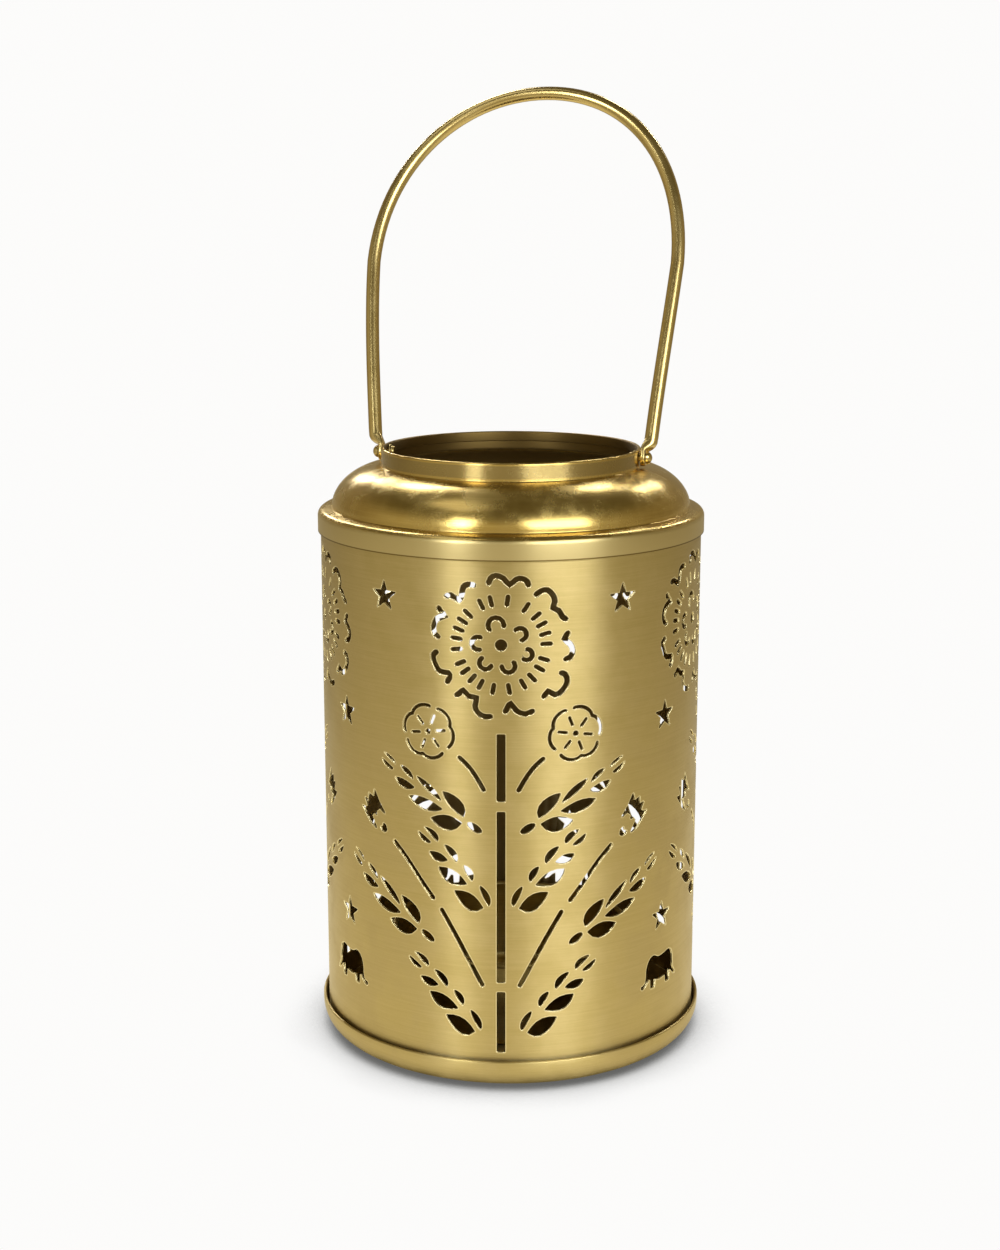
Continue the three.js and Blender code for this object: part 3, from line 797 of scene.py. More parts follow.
@dataclass(frozen=True)
class Grain:
    """The grain of sheet that was turned and brushed: fine level scratches and soft blotches.

    Each noise is a scale, a detail and a roughness. The scratches are read on the unrolled sheet,
    in a fine and a coarse layer, each with a scale along them and one across them.
    """

    wall_r: float = 0.06
    fine: Pair = (90, 5200)
    fine_share: float = 0.6
    coarse: Pair = (25, 1500)
    coarse_share: float = 0.4
    scratch_noise: tuple[float, float, float] = (1.0, 3, 0.6)
    speckle_noise: tuple[float, float, float] = (2600, 3, 0.7)
    blotch_noise: tuple[float, float, float] = (70, 4, 0.6)
    inside: Pair = (-0.05, -0.5)

    def group(self) -> bpy.types.NodeTree:
        """Builds the group that all finishes share.

        Returns:
            A group that puts out Scratches, Speckle, Blotches and Inside, each about 0 to 1.
            Inside is 1 on the faces that look at the lantern's axis.
        """
        tree = bpy.data.node_groups.new("brushed_grain", "ShaderNodeTree")
        for name in ("Vector", "Normal"):
            tree.interface.new_socket(name, in_out="INPUT", socket_type="NodeSocketVector")
        for name in ("Scratches", "Speckle", "Blotches", "Inside"):
            tree.interface.new_socket(name, in_out="OUTPUT", socket_type="NodeSocketFloat")
        n = Nodes(tree)
        start, end = n.add("NodeGroupInput"), n.add("NodeGroupOutput")
        place = start.outputs["Vector"]
        outward = n.vector("NORMALIZE", n.vector("MULTIPLY", place, (1, 1, 0)))
        faced = n.vector("DOT_PRODUCT", outward, start.outputs["Normal"])
        for name, value in (
            ("Scratches", self.scratches(n, place)),
            ("Speckle", n.noise(place, *self.speckle_noise)),
            ("Blotches", n.noise(place, *self.blotch_noise)),
            ("Inside", n.ramp(faced, *self.inside)),
        ):
            tree.links.new(value, end.inputs[name])
        return tree

    def scratches(self, n: Nodes, place: Socket) -> Socket:
        """Builds the scratches, which run round the lantern's axis.

        Args:
            n: the helper of the tree that they are built in.
            place: a point of the piece.

        Returns:
            The scratches' height, about 0 to 1.
        """
        split = n.add("SeparateXYZ", None, Vector=place)
        x, y, z = (split.outputs[axis] for axis in "XYZ")
        angle = n.math("ARCTAN2", x, n.math("MULTIPLY", y, -1.0))
        away = n.math("SQRT", n.math("ADD", n.math("POWER", x, 2.0), n.math("POWER", y, 2.0)))
        along = n.math("MULTIPLY", angle, self.wall_r)
        rolled = n.add("CombineXYZ", None, X=along, Y=z, Z=away).outputs[0]
        layers = [n.noise(n.vector("MULTIPLY", rolled, (length, width, width)), *self.scratch_noise)
                  for length, width in (self.fine, self.coarse)]
        return n.sum_of(layers[0], self.fine_share, layers[1], self.coarse_share)


@dataclass(frozen=True)
class BrassFinish:
    """One finish of brass.

    Colours are in linear light. Light and dark are the metal's own two tones, which blotches
    and streaks mix. Spread is how far the roughness strays. Inside shade is painted shade on the
    faces that look at the axis, and edge highlight a painted highlight on those of a cut edge.
    Heights are in metres: below satin_below the metal is satin, below foot_line a painted shadow
    darkens it, and between the two of collar a painted shade darkens it.
    Stretch is how far the brush lines stretch the reflections up and down.
    """

    name: str
    light: Color
    dark: Color
    roughness: float
    roughness_spread: float
    scratch_bump: float
    speckle_bump: float
    # Painted highlight colour for the cut edges and the narrow band round them.
    edge_highlight: Color | None = None
    edge_roughness: float = 0.3
    # Painted shade colour for the faces that look at the lantern's axis.
    inside_shade: Color | None = None
    inside_shade_roughness: float = 0.5
    satin_below: float = 0.0
    satin_blend: float = 0.0004
    satin: Color = (0.70, 0.57, 0.27)
    satin_roughness: float = 0.36
    # Below foot_line a painted shadow colour darkens the skirt's foot.
    foot_line: float = 0.16855
    foot_blend: float = 0.0002
    foot_shadow: Color = (0.24, 0.17, 0.06)
    # Between the two heights of collar a painted shade colour darkens the collar.
    collar: Pair = (0.1893, 0.1937)
    collar_blend: Pair = (0.0005, 0.0003)
    collar_shade: Color = (0.46, 0.345, 0.135)
    stretch: float = 0.0
    blotch_range: Pair = (0.35, 0.68)
    blotch_share: float = 0.55
    streak_range: Pair = (0.35, 0.65)
    streak_share: float = 0.45
    speckle_share: float = 0.5
    rough_range: Pair = (0.25, 0.75)
    scratch_depth: float = 0.00004
    speckle_depth: float = 0.00008
    upright: float = 0.0012
    quarter_turn: float = 0.25

    def material(self, grain: bpy.types.NodeTree) -> bpy.types.Material:
        """Builds the material.

        Args:
            grain: the group with the grain's masks.

        Returns:
            The material.
        """
        material = bpy.data.materials.new(self.name)
        n = fresh_nodes(material)
        place = n.add("TexCoord").outputs["Object"]
        masks = n.add("Group", {"node_tree": grain}, Vector=place,
                      Normal=n.add("NewGeometry").outputs["Normal"]).outputs
        blotches = n.ramp(masks["Blotches"], *self.blotch_range)
        streaks = n.ramp(masks["Scratches"], *self.streak_range)
        tone = n.sum_of(blotches, self.blotch_share, streaks, self.streak_share)
        color = n.mix(tone, opaque(self.dark), opaque(self.light))
        stray = n.sum_of(masks["Speckle"], self.speckle_share, blotches, 1 - self.speckle_share)
        rough = n.ramp(stray, *self.rough_range, self.roughness - self.roughness_spread,
                       self.roughness + self.roughness_spread)
        if self.satin_below:
            color, rough = self.marked(n, place, color, rough)
        # Painted shade: the faces that look at the axis take the darker inside colour.
        if self.inside_shade:
            color = n.mix(masks["Inside"], color, opaque(self.inside_shade))
            rough = n.fade(masks["Inside"], rough, self.inside_shade_roughness)
        # Painted highlight: the cut edges and the band round them are lightened towards the edge
        # colour, and made smoother.
        if self.edge_highlight:
            edge = n.add("Attribute", {"attribute_name": CUT_EDGE}).outputs["Fac"]
            color = n.mix(edge, color, opaque(self.edge_highlight))
            rough = n.fade(edge, rough, self.edge_roughness)
        bump = n.add("Bump", None, Height=masks["Scratches"], Strength=self.scratch_bump,
                     Distance=self.scratch_depth)
        bump = n.add("Bump", None, Height=masks["Speckle"], Strength=self.speckle_bump,
                     Distance=self.speckle_depth, Normal=bump.outputs["Normal"])
        shader = n.add("BsdfPrincipled", None, Base_Color=color, Roughness=rough, Metallic=1.0,
                       Normal=bump.outputs["Normal"])
        if self.stretch:
            around = n.vector("CROSS_PRODUCT", (0, 0, 1), place)
            n.tree.links.new(n.vector("ADD", around, (0, 0, self.upright)), shader.inputs["Tangent"])
            shader.inputs["Anisotropic"].default_value = self.stretch
            shader.inputs["Anisotropic Rotation"].default_value = self.quarter_turn
        n.add("OutputMaterial", None, Surface=shader.outputs[0])
        return material

    def marked(self, n: Nodes, place: Socket, color: Socket, rough: Socket) -> tuple[Socket, Socket]:
        """Adds the marks of a spun cap: a satin skirt, a painted shadow line along its foot and painted
        shade on its collar.

        Args:
            n: the helper of the material's tree.
            place: a point of the piece.
            color: the colour without the marks.
            rough: the roughness without the marks.

        Returns:
            The colour and the roughness with the marks.
        """
        height = n.add("SeparateXYZ", None, Vector=place).outputs["Z"]
        satin = n.ramp(height, self.satin_below + self.satin_blend, self.satin_below - self.satin_blend)
        (low, high), (low_blend, high_blend) = self.collar, self.collar_blend
        collar = n.math("MULTIPLY", n.ramp(height, low, low + low_blend),
                        n.ramp(height, high, high - high_blend))
        foot = n.ramp(height, self.foot_line, self.foot_line - self.foot_blend)
        # The collar's colour is painted shade and the foot's is a painted shadow line; the satin colour
        # is the skirt's own.
        for mask, mark in ((satin, self.satin), (collar, self.collar_shade), (foot, self.foot_shadow)):
            color = n.mix(mask, color, opaque(mark))
        return color, n.fade(satin, rough, self.satin_roughness)


# The inside colours below are painted shade on the faces that look at the axis; the satin sheet's edge
# colour is a painted highlight round each cut.
SATIN = BrassFinish("satin_brass_sheet", (0.69, 0.55, 0.25), (0.58, 0.455, 0.18), roughness=0.42,
                    roughness_spread=0.04, scratch_bump=0.3, speckle_bump=0.15, stretch=0.85,
                    edge_highlight=(0.97, 0.86, 0.52), edge_roughness=0.25, inside_shade=(0.34, 0.24, 0.09))
SPUN = BrassFinish("polished_brass_dome", (0.76, 0.57, 0.20), (0.60, 0.42, 0.12), roughness=0.25,
                   roughness_spread=0.05, scratch_bump=0.12, speckle_bump=0.16, stretch=0.7,
                   inside_shade=(0.19, 0.125, 0.04), satin_below=0.1741)
AGED = BrassFinish("aged_brass", (0.60, 0.47, 0.19), (0.44, 0.33, 0.12), roughness=0.36,
                   roughness_spread=0.08, scratch_bump=0.3, speckle_bump=0.3)
BRIGHT = BrassFinish("bright_brass_wire", (0.74, 0.58, 0.25), (0.66, 0.50, 0.19), roughness=0.24,
                     roughness_spread=0.02, scratch_bump=0.0, speckle_bump=0.0)


# Sub-assemblies


@dataclass
class RolledSheet:
    """The body: one pierced sheet, rolled into a tube with a lap seam at the back."""

    radius: float = 61.6
    foot: float = 4.37
    top: float = 173.0
    pattern_foot: float = 12.4
    lip: float = 0.12
    # The halo is the flat band round each cut that carries the painted edge highlight.
    halo: float = 0.26
    start: float = math.radians(-188.5)
    end: float = math.radians(175.1)
    dive_from: float = math.radians(169.8)
    dive_to: float = math.radians(171.2)
    lap_gap: float = 0.05
    strip: float = math.radians(2.5)
    same_point: float = 2e-4
    # How much of the painted edge highlight the inner rim of each cut wall gets.
    back_edge_highlight: float = 0.3
    pattern: Pattern = field(default_factory=Pattern)

    def depth(self, angle: float) -> float:
        """How far the sheet lies inside its nominal radius at an angle from the pattern's axis."""
        dive = smooth_step((angle - self.dive_from) / (self.dive_to - self.dive_from))
        return (SHEET + self.lap_gap) * dive

    def boundaries(self) -> list[Outline]:
        """The lines that the flat faces end at, a lip and a halo away from each cut edge.

        Returns:
            Outlines that have the metal on their right, the sheet's own rim first.
        """
        inset = self.lip + self.halo
        low = point(self.radius * self.start + inset, self.foot + inset)
        high = point(self.radius * self.end - inset, self.top - inset)
        lines = [[low, point(low.x, high.y), high, point(high.x, low.y)]]
        for cut in self.pattern.outlines():
            lifted = [point(p.x, p.y + self.pattern_foot) for p in cut]
            lines.append(unlooped(beside(lifted, -inset, True)))
        return lines

    def flat_sheet(self, bm: bmesh.types.BMesh) -> None:
        """Fills the sheet between its cut edges and slices it into narrow upright strips.

        Args:
            bm: an empty mesh with the layer "void", which gets each edge point's step to the void.
        """
        void = bm.verts.layers.float_vector["void"]
        edges = []
        for outline in self.boundaries():
            verts = []
            for p, step in zip(outline, side_steps(outline, True)):
                vert = bm.verts.new((p.x, p.y, 0))
                vert[void] = (step.x, step.y, 0)
                verts.append(vert)
            edges += [bm.edges.new(pair) for pair in zip(verts, [*verts[1:], verts[0]])]
        bmesh.ops.triangle_fill(bm, edges=edges, use_beauty=True, use_dissolve=False, normal=(0, 0, 1))
        angle = self.start + self.strip
        while angle < self.end:
            bmesh.ops.bisect_plane(bm, geom=[*bm.verts, *bm.edges, *bm.faces], dist=SAME_POINT,
                                   plane_co=(angle * self.radius, 0, 0), plane_no=(1, 0, 0))
            angle += self.strip

    def build(self) -> bpy.types.Object:
        """Builds the rolled sheet with its cut edges.

        Returns:
            The finished object.
        """
        bm = bmesh.new()
        void = bm.verts.layers.float_vector.new("void")
        facing = bm.verts.layers.float_vector.new("facing")
        mask = bm.verts.layers.float.new(CUT_EDGE)
        inner = bm.faces.layers.int.new("inner_face")
        self.flat_sheet(bm)
        for vert in bm.verts:
            vert[facing] = (0, 0, 1)
            if not vert.is_boundary:
                vert[void] = (0, 0, 0)
        for face in bm.faces:
            if face.normal.z < 0:
                face.normal_flip()
        ring = [edge for edge in bm.edges if edge.is_boundary]
        copy = bmesh.ops.duplicate(bm, geom=[*bm.verts, *bm.edges, *bm.faces])["geom"]
        back = [item for item in copy if isinstance(item, bmesh.types.BMFace)]
        bmesh.ops.reverse_faces(bm, faces=back)
        for face in back:
            face[inner] = 1
        inset = self.lip + self.halo
        for vert in (item for item in copy if isinstance(item, bmesh.types.BMVert)):
            vert.co += vert[void] * inset
            vert.co.z = -SHEET
        slant = math.sqrt(0.5)
        # Each ring: its reach, its depth, its facing, and how much of the painted edge highlight it
        # carries.
        rings = (
            (self.halo, 0, (0, 1), 1),
            (inset - self.lip * (1 - slant), self.lip * (1 - slant), (slant, slant), 1),
            (inset, self.lip, (1, 0), 1),
            (inset, SHEET, (1, 0), self.back_edge_highlight),
        )
        reached = 0.0
        for reach, depth, (sideways, out), edge_mask in rings:
            verts, ring = extruded(bm, ring)
            for vert in verts:
                step = vert[void].copy()
                vert.co += step * (reach - reached)
                vert.co.z = -depth
                vert[mask] = edge_mask
                vert[facing] = step.normalized() * sideways + Vector((0, 0, out))
            reached = reach
        bmesh.ops.remove_doubles(bm, verts=bm.verts, dist=self.same_point)
        normals = self.roll(bm, facing, inner)
        for name in ("void", "facing"):
            bm.verts.layers.float_vector.remove(bm.verts.layers.float_vector[name])
        obj = finish_mesh("pierced_body_sheet", bm, sharp=180)
        obj.data.normals_split_custom_set(normals)
        return obj

    def roll(self, bm: bmesh.types.BMesh, facing: object, inner: object) -> list[Vector]:
        """Rolls the flat sheet round the axis.

        Args:
            bm: the flat sheet.
            facing: the layer with each point's normal on the flat sheet.
            inner: the layer that marks the faces of the sheet's inner side.

        Returns:
            The normal of each corner of each face, once rolled.
        """
        turned = {}
        for vert in bm.verts:
            angle = vert.co.x / self.radius
            r = self.radius + vert.co.z - self.depth(angle)
            turn = angle + PATTERN_TURN
            along = Vector((math.cos(turn), math.sin(turn), 0))
            out = Vector((math.sin(turn), -math.cos(turn), 0))
            face = vert[facing]
            outer_normal = (along * face.x + Vector((0, 0, face.y)) + out * face.z).normalized()
            turned[vert] = (outer_normal, -out)
            vert.co = out * r + Vector((0, 0, vert.co.y))
        return [turned[loop.vert][face[inner]] for face in bm.faces for loop in face.loops]


@dataclass
class SpunCap:
    """The cap: skirt, ledge, dome and an open collar with a hemmed rim, spun from one sheet."""

    skirt_r: float = 62.5
    skirt_foot: float = 168.1
    shoulder_curve: float = 2.2
    shoulder_z: float = 173.0
    ledge_width: float = 1.7
    ledge_rise: float = 0.4
    cove: float = 0.7
    dome_foot: float = 175.95
    dome_pull: float = 5
    dome_top: float = 188.65
    crown_pull: Pair = (10, -0.7)
    collar_r: float = 41.8
    fillet: float = 0.4
    rim_z: float = 194.45
    hem_depth: float = 3.3
    hem_straight: float = 1.6
    rim_round: float = 0.6
    hole_r: float = 1.5
    pivot_z: float = 191.75
    steps: int = 144

    def section(self) -> Outline:
        """The sheet's closed section, from the skirt's foot up the outside and down the inside."""
        shoulder = point(self.skirt_r - self.shoulder_curve, self.shoulder_z)
        ledge = shoulder + point(-self.ledge_width, self.shoulder_curve + self.ledge_rise)
        dome = point(ledge.x - self.cove, self.dome_foot)
        crown = point(self.collar_r + self.fillet, self.dome_top)
        skirt = point(self.skirt_r, self.skirt_foot)
        outer = [skirt, skirt + point(0, self.hem_straight)]
        outer += arc(shoulder, self.shoulder_curve, 0, QUARTER, steps=9)
        outer += [ledge]
        cove_r = self.cove / 2
        outer += arc(ledge + point(-cove_r, cove_r), cove_r, -QUARTER, -math.pi, steps=4)
        outer += bezier(dome, dome + point(0, self.dome_pull), crown + point(*self.crown_pull), crown,
                        steps=26)[1:]
        outer += arc(crown + point(0, self.fillet), self.fillet, -QUARTER, -math.pi, steps=4)[1:]
        rim_middle = point(self.collar_r - self.rim_round, self.rim_z - self.rim_round)
        outer += [point(self.collar_r, rim_middle.y)]
        inner = beside(outer, SHEET)
        rim = arc(rim_middle, self.rim_round, 0, math.pi, steps=8)[1:]
        hem_r = self.collar_r - 2 * SHEET
        hem_foot = self.rim_z - self.hem_depth
        rim += [point(hem_r, self.rim_z - self.hem_straight)]
        rim += arc(point(hem_r + SHEET / 2, hem_foot + SHEET / 2), SHEET / 2, math.pi, 3 * QUARTER,
                   steps=3)
        rim += [point(hem_r + SHEET, hem_foot)]
        return unlooped([*outer, *rim, *reversed(inner[:-1])])

    def build(self) -> bpy.types.Object:
        """Builds the cap with the two holes that the bail's rivets go through.

        Returns:
            The finished object.
        """
        obj = finish_mesh("spun_cap_shell", spun(self.section(), self.steps))
        drill(obj, self.hole_r, 2 * self.skirt_r, self.pivot_z)
        return obj


@dataclass
class BasePan:
    """The pan: a shallow spun tray on a flat ring, with a beaded rim."""

    radius: float = 63.5
    curve: float = 8
    height: float = 9.9
    bead: float = 1.0
    bead_end: float = 1.15 * math.pi
    ring: float = 11.5
    raised: float = 3
    step: float = 2
    dimple_r: float = 6
    dimple: float = 1.6
    hole_r: float = 1.8
    steps: int = 144

    def middle(self) -> Outline:
        """The underside of the raised middle, from the rivet hole across the dimple."""
        ring_r = self.radius - self.curve - self.ring
        return [point(self.hole_r, self.raised - self.dimple),
                point(self.dimple_r - self.dimple, self.raised - self.dimple),
                point(self.dimple_r, self.raised), point(ring_r - self.step, self.raised)]

    def build(self) -> bpy.types.Object:
        """Builds the pan.

        Returns:
            The finished object.
        """
        flat_r = self.radius - self.curve
        bead_r = self.bead / 2
        outer = [*self.middle(), point(flat_r - self.ring, 0)]
        outer += arc(point(flat_r, self.curve), self.curve, -QUARTER, 0, steps=14)
        outer += [point(self.radius, self.height - bead_r)]
        middle = point(self.radius - bead_r, self.height - bead_r)
        bead = arc(middle, bead_r, 0, self.bead_end, steps=8)[1:]
        return finish_mesh("base_pan_shell", spun(sheet_section(outer, bead), self.steps))


@dataclass
class CandleCup:
    """The candle cup: a dish with a rolled rim, riveted to the pan through a dimple."""

    radius: float = 40
    floor: float = 3.9
    height: float = 29.1
    corner: float = 3
    bead: float = 1
    bead_end: float = 1.1 * math.pi
    steps: int = 112
    pan: BasePan = field(default_factory=BasePan)

    def build(self) -> bpy.types.Object:
        """Builds the cup.

        Returns:
            The finished object.
        """
        wall_r = self.radius - self.bead
        top = self.floor + self.height
        outer = beside(self.pan.middle(), SHEET + GAP)[:-1]
        corner = point(wall_r - self.corner, self.floor + self.corner)
        outer += arc(corner, self.corner, -QUARTER, 0, steps=8)
        outer += [point(wall_r, top - 2 * self.bead)]
        rim = arc(point(wall_r, top - self.bead), self.bead, -QUARTER / 2, self.bead_end, steps=12)
        return finish_mesh("candle_cup_shell", spun(sheet_section(outer, rim), self.steps))


@dataclass
class Rivet:
    """A rivet with a hammered tail, a plain shank and a domed head, along +Z until it is placed."""

    name: str
    shank_r: float
    tail_r: float
    tail: float
    tail_top: float
    head_r: float
    head: float
    head_foot: float
    steps: int = 40

    def mesh(self) -> bmesh.types.BMesh:
        """The rivet along +Z."""
        dome_r = (self.head_r ** 2 + self.head ** 2) / (2 * self.head)
        reach = math.asin(min(self.head_r / dome_r, 1))
        centre = point(0, self.head_foot + self.head - dome_r)
        low = self.tail_top - self.tail
        round_r = self.tail / 2
        tail = arc(point(self.tail_r - round_r, low + round_r), round_r, -QUARTER, 0, steps=4)
        dome = arc(centre, dome_r, QUARTER - reach, QUARTER, steps=9)
        dome[-1].x = 0
        shank = drawn(((self.tail_r, self.tail_top), (self.shank_r, self.tail_top),
                       (self.shank_r, self.head_foot)))
        return spun([point(0, low), *tail, *shank, *dome], self.steps)

    def build(self, turn: Matrix = Matrix.Identity(4)) -> bpy.types.Object:
        """Builds the rivet in its place.

        Args:
            turn: takes the rivet from +Z to its place.

        Returns:
            The finished object.
        """
        bm = self.mesh()
        bmesh.ops.transform(bm, matrix=turn, verts=bm.verts)
        return finish_mesh(self.name, bm)


@dataclass
class Bail:
    """The bail: a forged wire with flattened eyes, two rivets and their washers."""

    wire_r: float = 2.2
    pivot_z: float = 191.75
    leg: Pairs = ((45.3, 5.5), (47.2, 25.5), (49.6, 45.6), (50.7, 65.6))
    arch: Pairs = ((50.7, 65.6), (50.7, 101.2), (28.4, 125.3), (0, 125.3))
    height: float = 125.3
    sag: float = 4.8
    lurch: float = 2.9
    eye_x: float = 42.9
    eye_r: float = 2.7
    eye_half: float = 0.8
    forged_from: float = 1.9
    forged_to: float = 5.6
    forged_steps: int = 15
    eye_steps: int = 16
    leg_start: float = 0.6
    squareness: float = 4
    same_point: float = 1e-3
    hole_r: float = 1.5
    drill_length: float = 100
    sides: int = 28
    washer_steps: int = 40
    washer_r: float = 2.3
    washer_from: float = 39.74
    washer_to: float = 40.24

    def stations(self) -> list[tuple[Vector, float, float, float]]:
        """Places along the right half of the wire, from the eye's foot to the top of the arch.

        Returns:
            The middle of each section, half its thickness, half its width, and how square it is.
        """
        places = []
        for i in range(1, self.eye_steps):
            angle = -QUARTER + QUARTER * i / self.eye_steps
            places.append((point(self.eye_x, self.eye_r * math.sin(angle)), self.eye_half,
                           self.eye_r * math.cos(angle), 1.0))
        leg = drawn(self.leg)
        slope = (leg[1].x - leg[0].x) / (leg[1].y - leg[0].y)
        for i in range(self.forged_steps):
            z = self.forged_to * i / self.forged_steps
            t = smooth_step((z - self.forged_from) / (self.forged_to - self.forged_from))
            wire_x = leg[0].x + (z - leg[0].y) * slope
            half = self.eye_half + (self.wire_r - self.eye_half) * t
            width = self.eye_r + (self.wire_r - self.eye_r) * t
            places.append((point(self.eye_x + (wire_x - self.eye_x) * t, z), half, width, 1 - t))
        line = [p for p in bezier(*leg, steps=30) if p.y > self.forged_to + self.leg_start]
        line += bezier(*drawn(self.arch), steps=30)[1:]
        return places + [(p, self.wire_r, self.wire_r, 0.0) for p in line]

    def wire(self) -> bpy.types.Object:
        """Builds the wire: a ring drawn through the stations, mirrored, and drilled at the eyes.

        Returns:
            The finished object.
        """
        bm = bmesh.new()
        step = bm.verts.layers.int.new("step")
        bmesh.ops.create_circle(bm, cap_ends=True, segments=self.sides, radius=1)
        for vert in bm.verts:
            angle = math.atan2(vert.co.y, vert.co.x)
            vert[step] = round(angle / FULL_TURN * self.sides) % self.sides
        places = self.stations()
        middles = [place[0] for place in places]
        verts, edges = list(bm.verts), list(bm.edges)
        for i, (middle, half, width, square) in enumerate(places):
            before = middles[max(i - 1, 0)]
            after = middles[i + 1] if i + 1 < len(middles) else point(-before.x, before.y)
            along = (after - before).normalized()
            across = Vector((along.y, 0, -along.x))
            if i:
                verts, edges = extruded(bm, edges)
            power = 2 / (2 + self.squareness * square)
            for vert in verts:
                round_x, round_y = polar(1, FULL_TURN * vert[step] / self.sides)
                x = math.copysign(abs(round_x) ** power, round_x) * half
                y = math.copysign(abs(round_y) ** power, round_y) * width
                vert.co = Vector((middle.x, y, middle.y)) + across * x
        bmesh.ops.mirror(bm, geom=[*bm.verts, *bm.edges, *bm.faces], matrix=Matrix.Identity(4),
                         merge_dist=self.same_point, axis="X")
        bmesh.ops.remove_doubles(bm, verts=bm.verts, dist=self.same_point)
        bmesh.ops.recalc_face_normals(bm, faces=bm.faces)
        for vert in bm.verts:
            t = max(vert.co.z, 0) / self.height
            vert.co.x += self.lurch * t ** 3 - self.sag * t * (1 - t)
        bmesh.ops.translate(bm, vec=(0, 0, self.pivot_z), verts=bm.verts)
        obj = finish_mesh("bail_wire", bm)
        drill(obj, self.hole_r, self.drill_length, self.pivot_z)
        place = Matrix.Translation((0, 0, self.pivot_z * MM))
        obj.data.transform(place @ Matrix.Rotation(-BAIL_LEAN, 4, "X") @ place.inverted())
        return obj

    def washer(self, name: str, turn: Matrix) -> bpy.types.Object:
        """Builds one backing washer.

        Args:
            name: its name.
            turn: takes the washer from +Z to its place.

        Returns:
            The finished object.
        """
        low, high = self.washer_from, self.washer_to
        round_r = (high - low) / 4
        flat_r = self.washer_r - round_r
        edge = arc(point(flat_r, low + round_r), round_r, -QUARTER, 0, steps=3)
        edge += arc(point(flat_r, high - round_r), round_r, 0, QUARTER, steps=3)
        section = [point(self.hole_r, low), *edge, point(self.hole_r, high)]
        bm = spun(section, self.washer_steps)
        bmesh.ops.transform(bm, matrix=turn, verts=bm.verts)
        return finish_mesh(name, bm)


def drill(obj: bpy.types.Object, r: float, reach: float, z: float) -> None:
    """Drills a hole right through a piece, along X.

    Args:
        obj: the piece, in metres.
        r: the hole's radius in millimetres.
        reach: the drill's length in millimetres.
        z: the hole's height in millimetres.
    """
    bm = bmesh.new()
    turn = Matrix.Translation((0, 0, z)) @ Matrix.Rotation(QUARTER, 4, "Y")
    bmesh.ops.create_cone(bm, cap_ends=True, segments=DRILL_STEPS, radius1=r, radius2=r, depth=reach,
                          matrix=turn)
    cutter = finish_mesh("drill", bm)
    modifier = obj.modifiers.new("hole", "BOOLEAN")
    modifier.operation = "DIFFERENCE"
    modifier.solver = "EXACT"
    modifier.object = cutter
    depsgraph = bpy.context.evaluated_depsgraph_get()
    cut = bpy.data.meshes.new_from_object(obj.evaluated_get(depsgraph))
    obj.modifiers.clear()
    plain = obj.data
    obj.data = cut
    bpy.data.meshes.remove(plain)
    bpy.data.objects.remove(cutter)
    cut.name = obj.name


@dataclass
class Lantern:
    """The whole lantern, in the order that it goes together."""

    body: RolledSheet = field(default_factory=RolledSheet)
    cap: SpunCap = field(default_factory=SpunCap)
    pan: BasePan = field(default_factory=BasePan)
    cup: CandleCup = field(default_factory=CandleCup)
    bail: Bail = field(default_factory=Bail)

    def build(self) -> None:
        """Builds, dresses and declares every piece."""
        grain = Grain().group()
        finishes = {finish: finish.material(grain) for finish in (SATIN, SPUN, AGED, BRIGHT)}

        def declare(obj: bpy.types.Object, finish: BrassFinish, body: Body, slot: Slot,
                    node: str) -> None:
            obj.data.materials.clear()
            obj.data.materials.append(finishes[finish])
            report(obj, body, slot, node)

        declare(self.body.build(), SATIN, Body.LANTERN, Slot.SATIN, "pierced_body")
        declare(self.pan.build(), SATIN, Body.LANTERN, Slot.SATIN, "base_pan")
        declare(self.cap.build(), SPUN, Body.LANTERN, Slot.SATIN, "spun_cap")
        declare(self.cup.build(), AGED, Body.LANTERN, Slot.AGED, "candle_cup")
        cup_rivet = Rivet("cup_rivet_turned", shank_r=1.5, tail_r=2.6, tail=0.7, tail_top=1.1,
                          head_r=3, head=1, head_foot=3.2)
        declare(cup_rivet.build(), AGED, Body.LANTERN, Slot.AGED, "cup_rivet")
        declare(self.bail.wire(), BRIGHT, Body.BAIL, Slot.BRIGHT, "bail_handle")
        up = Matrix.Translation((0, 0, self.bail.pivot_z))
        for side, angle in (("right", QUARTER), ("left", -QUARTER)):
            turn = up @ Matrix.Rotation(angle, 4, "Y")
            rivet = Rivet(f"bail_rivet_{side}_turned", shank_r=1.2, tail_r=1.8, tail=0.8,
                          tail_top=39.44, head_r=2.1, head=1.9, head_foot=43.9)
            declare(rivet.build(turn), BRIGHT, Body.LANTERN, Slot.BRIGHT, f"bail_rivet_{side}")
            washer = self.bail.washer(f"bail_washer_{side}_turned", turn)
            declare(washer, AGED, Body.LANTERN, Slot.AGED, f"bail_washer_{side}")


@dataclass(frozen=True)
class Softbox:
    """A soft light that faces the lantern.

    Azimuth is its angle round the lantern in degrees, from the front towards +X, and elevation its
    angle above the floor. Distance and size are in metres, power is in watts.
    """

    name: str
    azimuth: float
    elevation: float
    distance: float
    size: Pair
    power: float
    color: Color = (1, 1, 1)

    def hang(self, middle: Vector) -> None:
        """Hangs the light.

        Args:
            middle: the point that it faces.
        """
        light = bpy.data.lights.new(self.name, "AREA")
        light.shape = "RECTANGLE"
        light.size, light.size_y = self.size
        light.energy = self.power
        light.color = self.color
        obj = bpy.data.objects.new(self.name, light)
        turn, rise = math.radians(self.azimuth), math.radians(self.elevation)
        flat = math.cos(rise)
        way = Vector((math.sin(turn) * flat, -math.cos(turn) * flat, math.sin(rise)))
        obj.location = middle + way * self.distance
        obj.rotation_euler = way.to_track_quat("Z", "Y").to_euler()
        bpy.context.scene.collection.objects.link(obj)


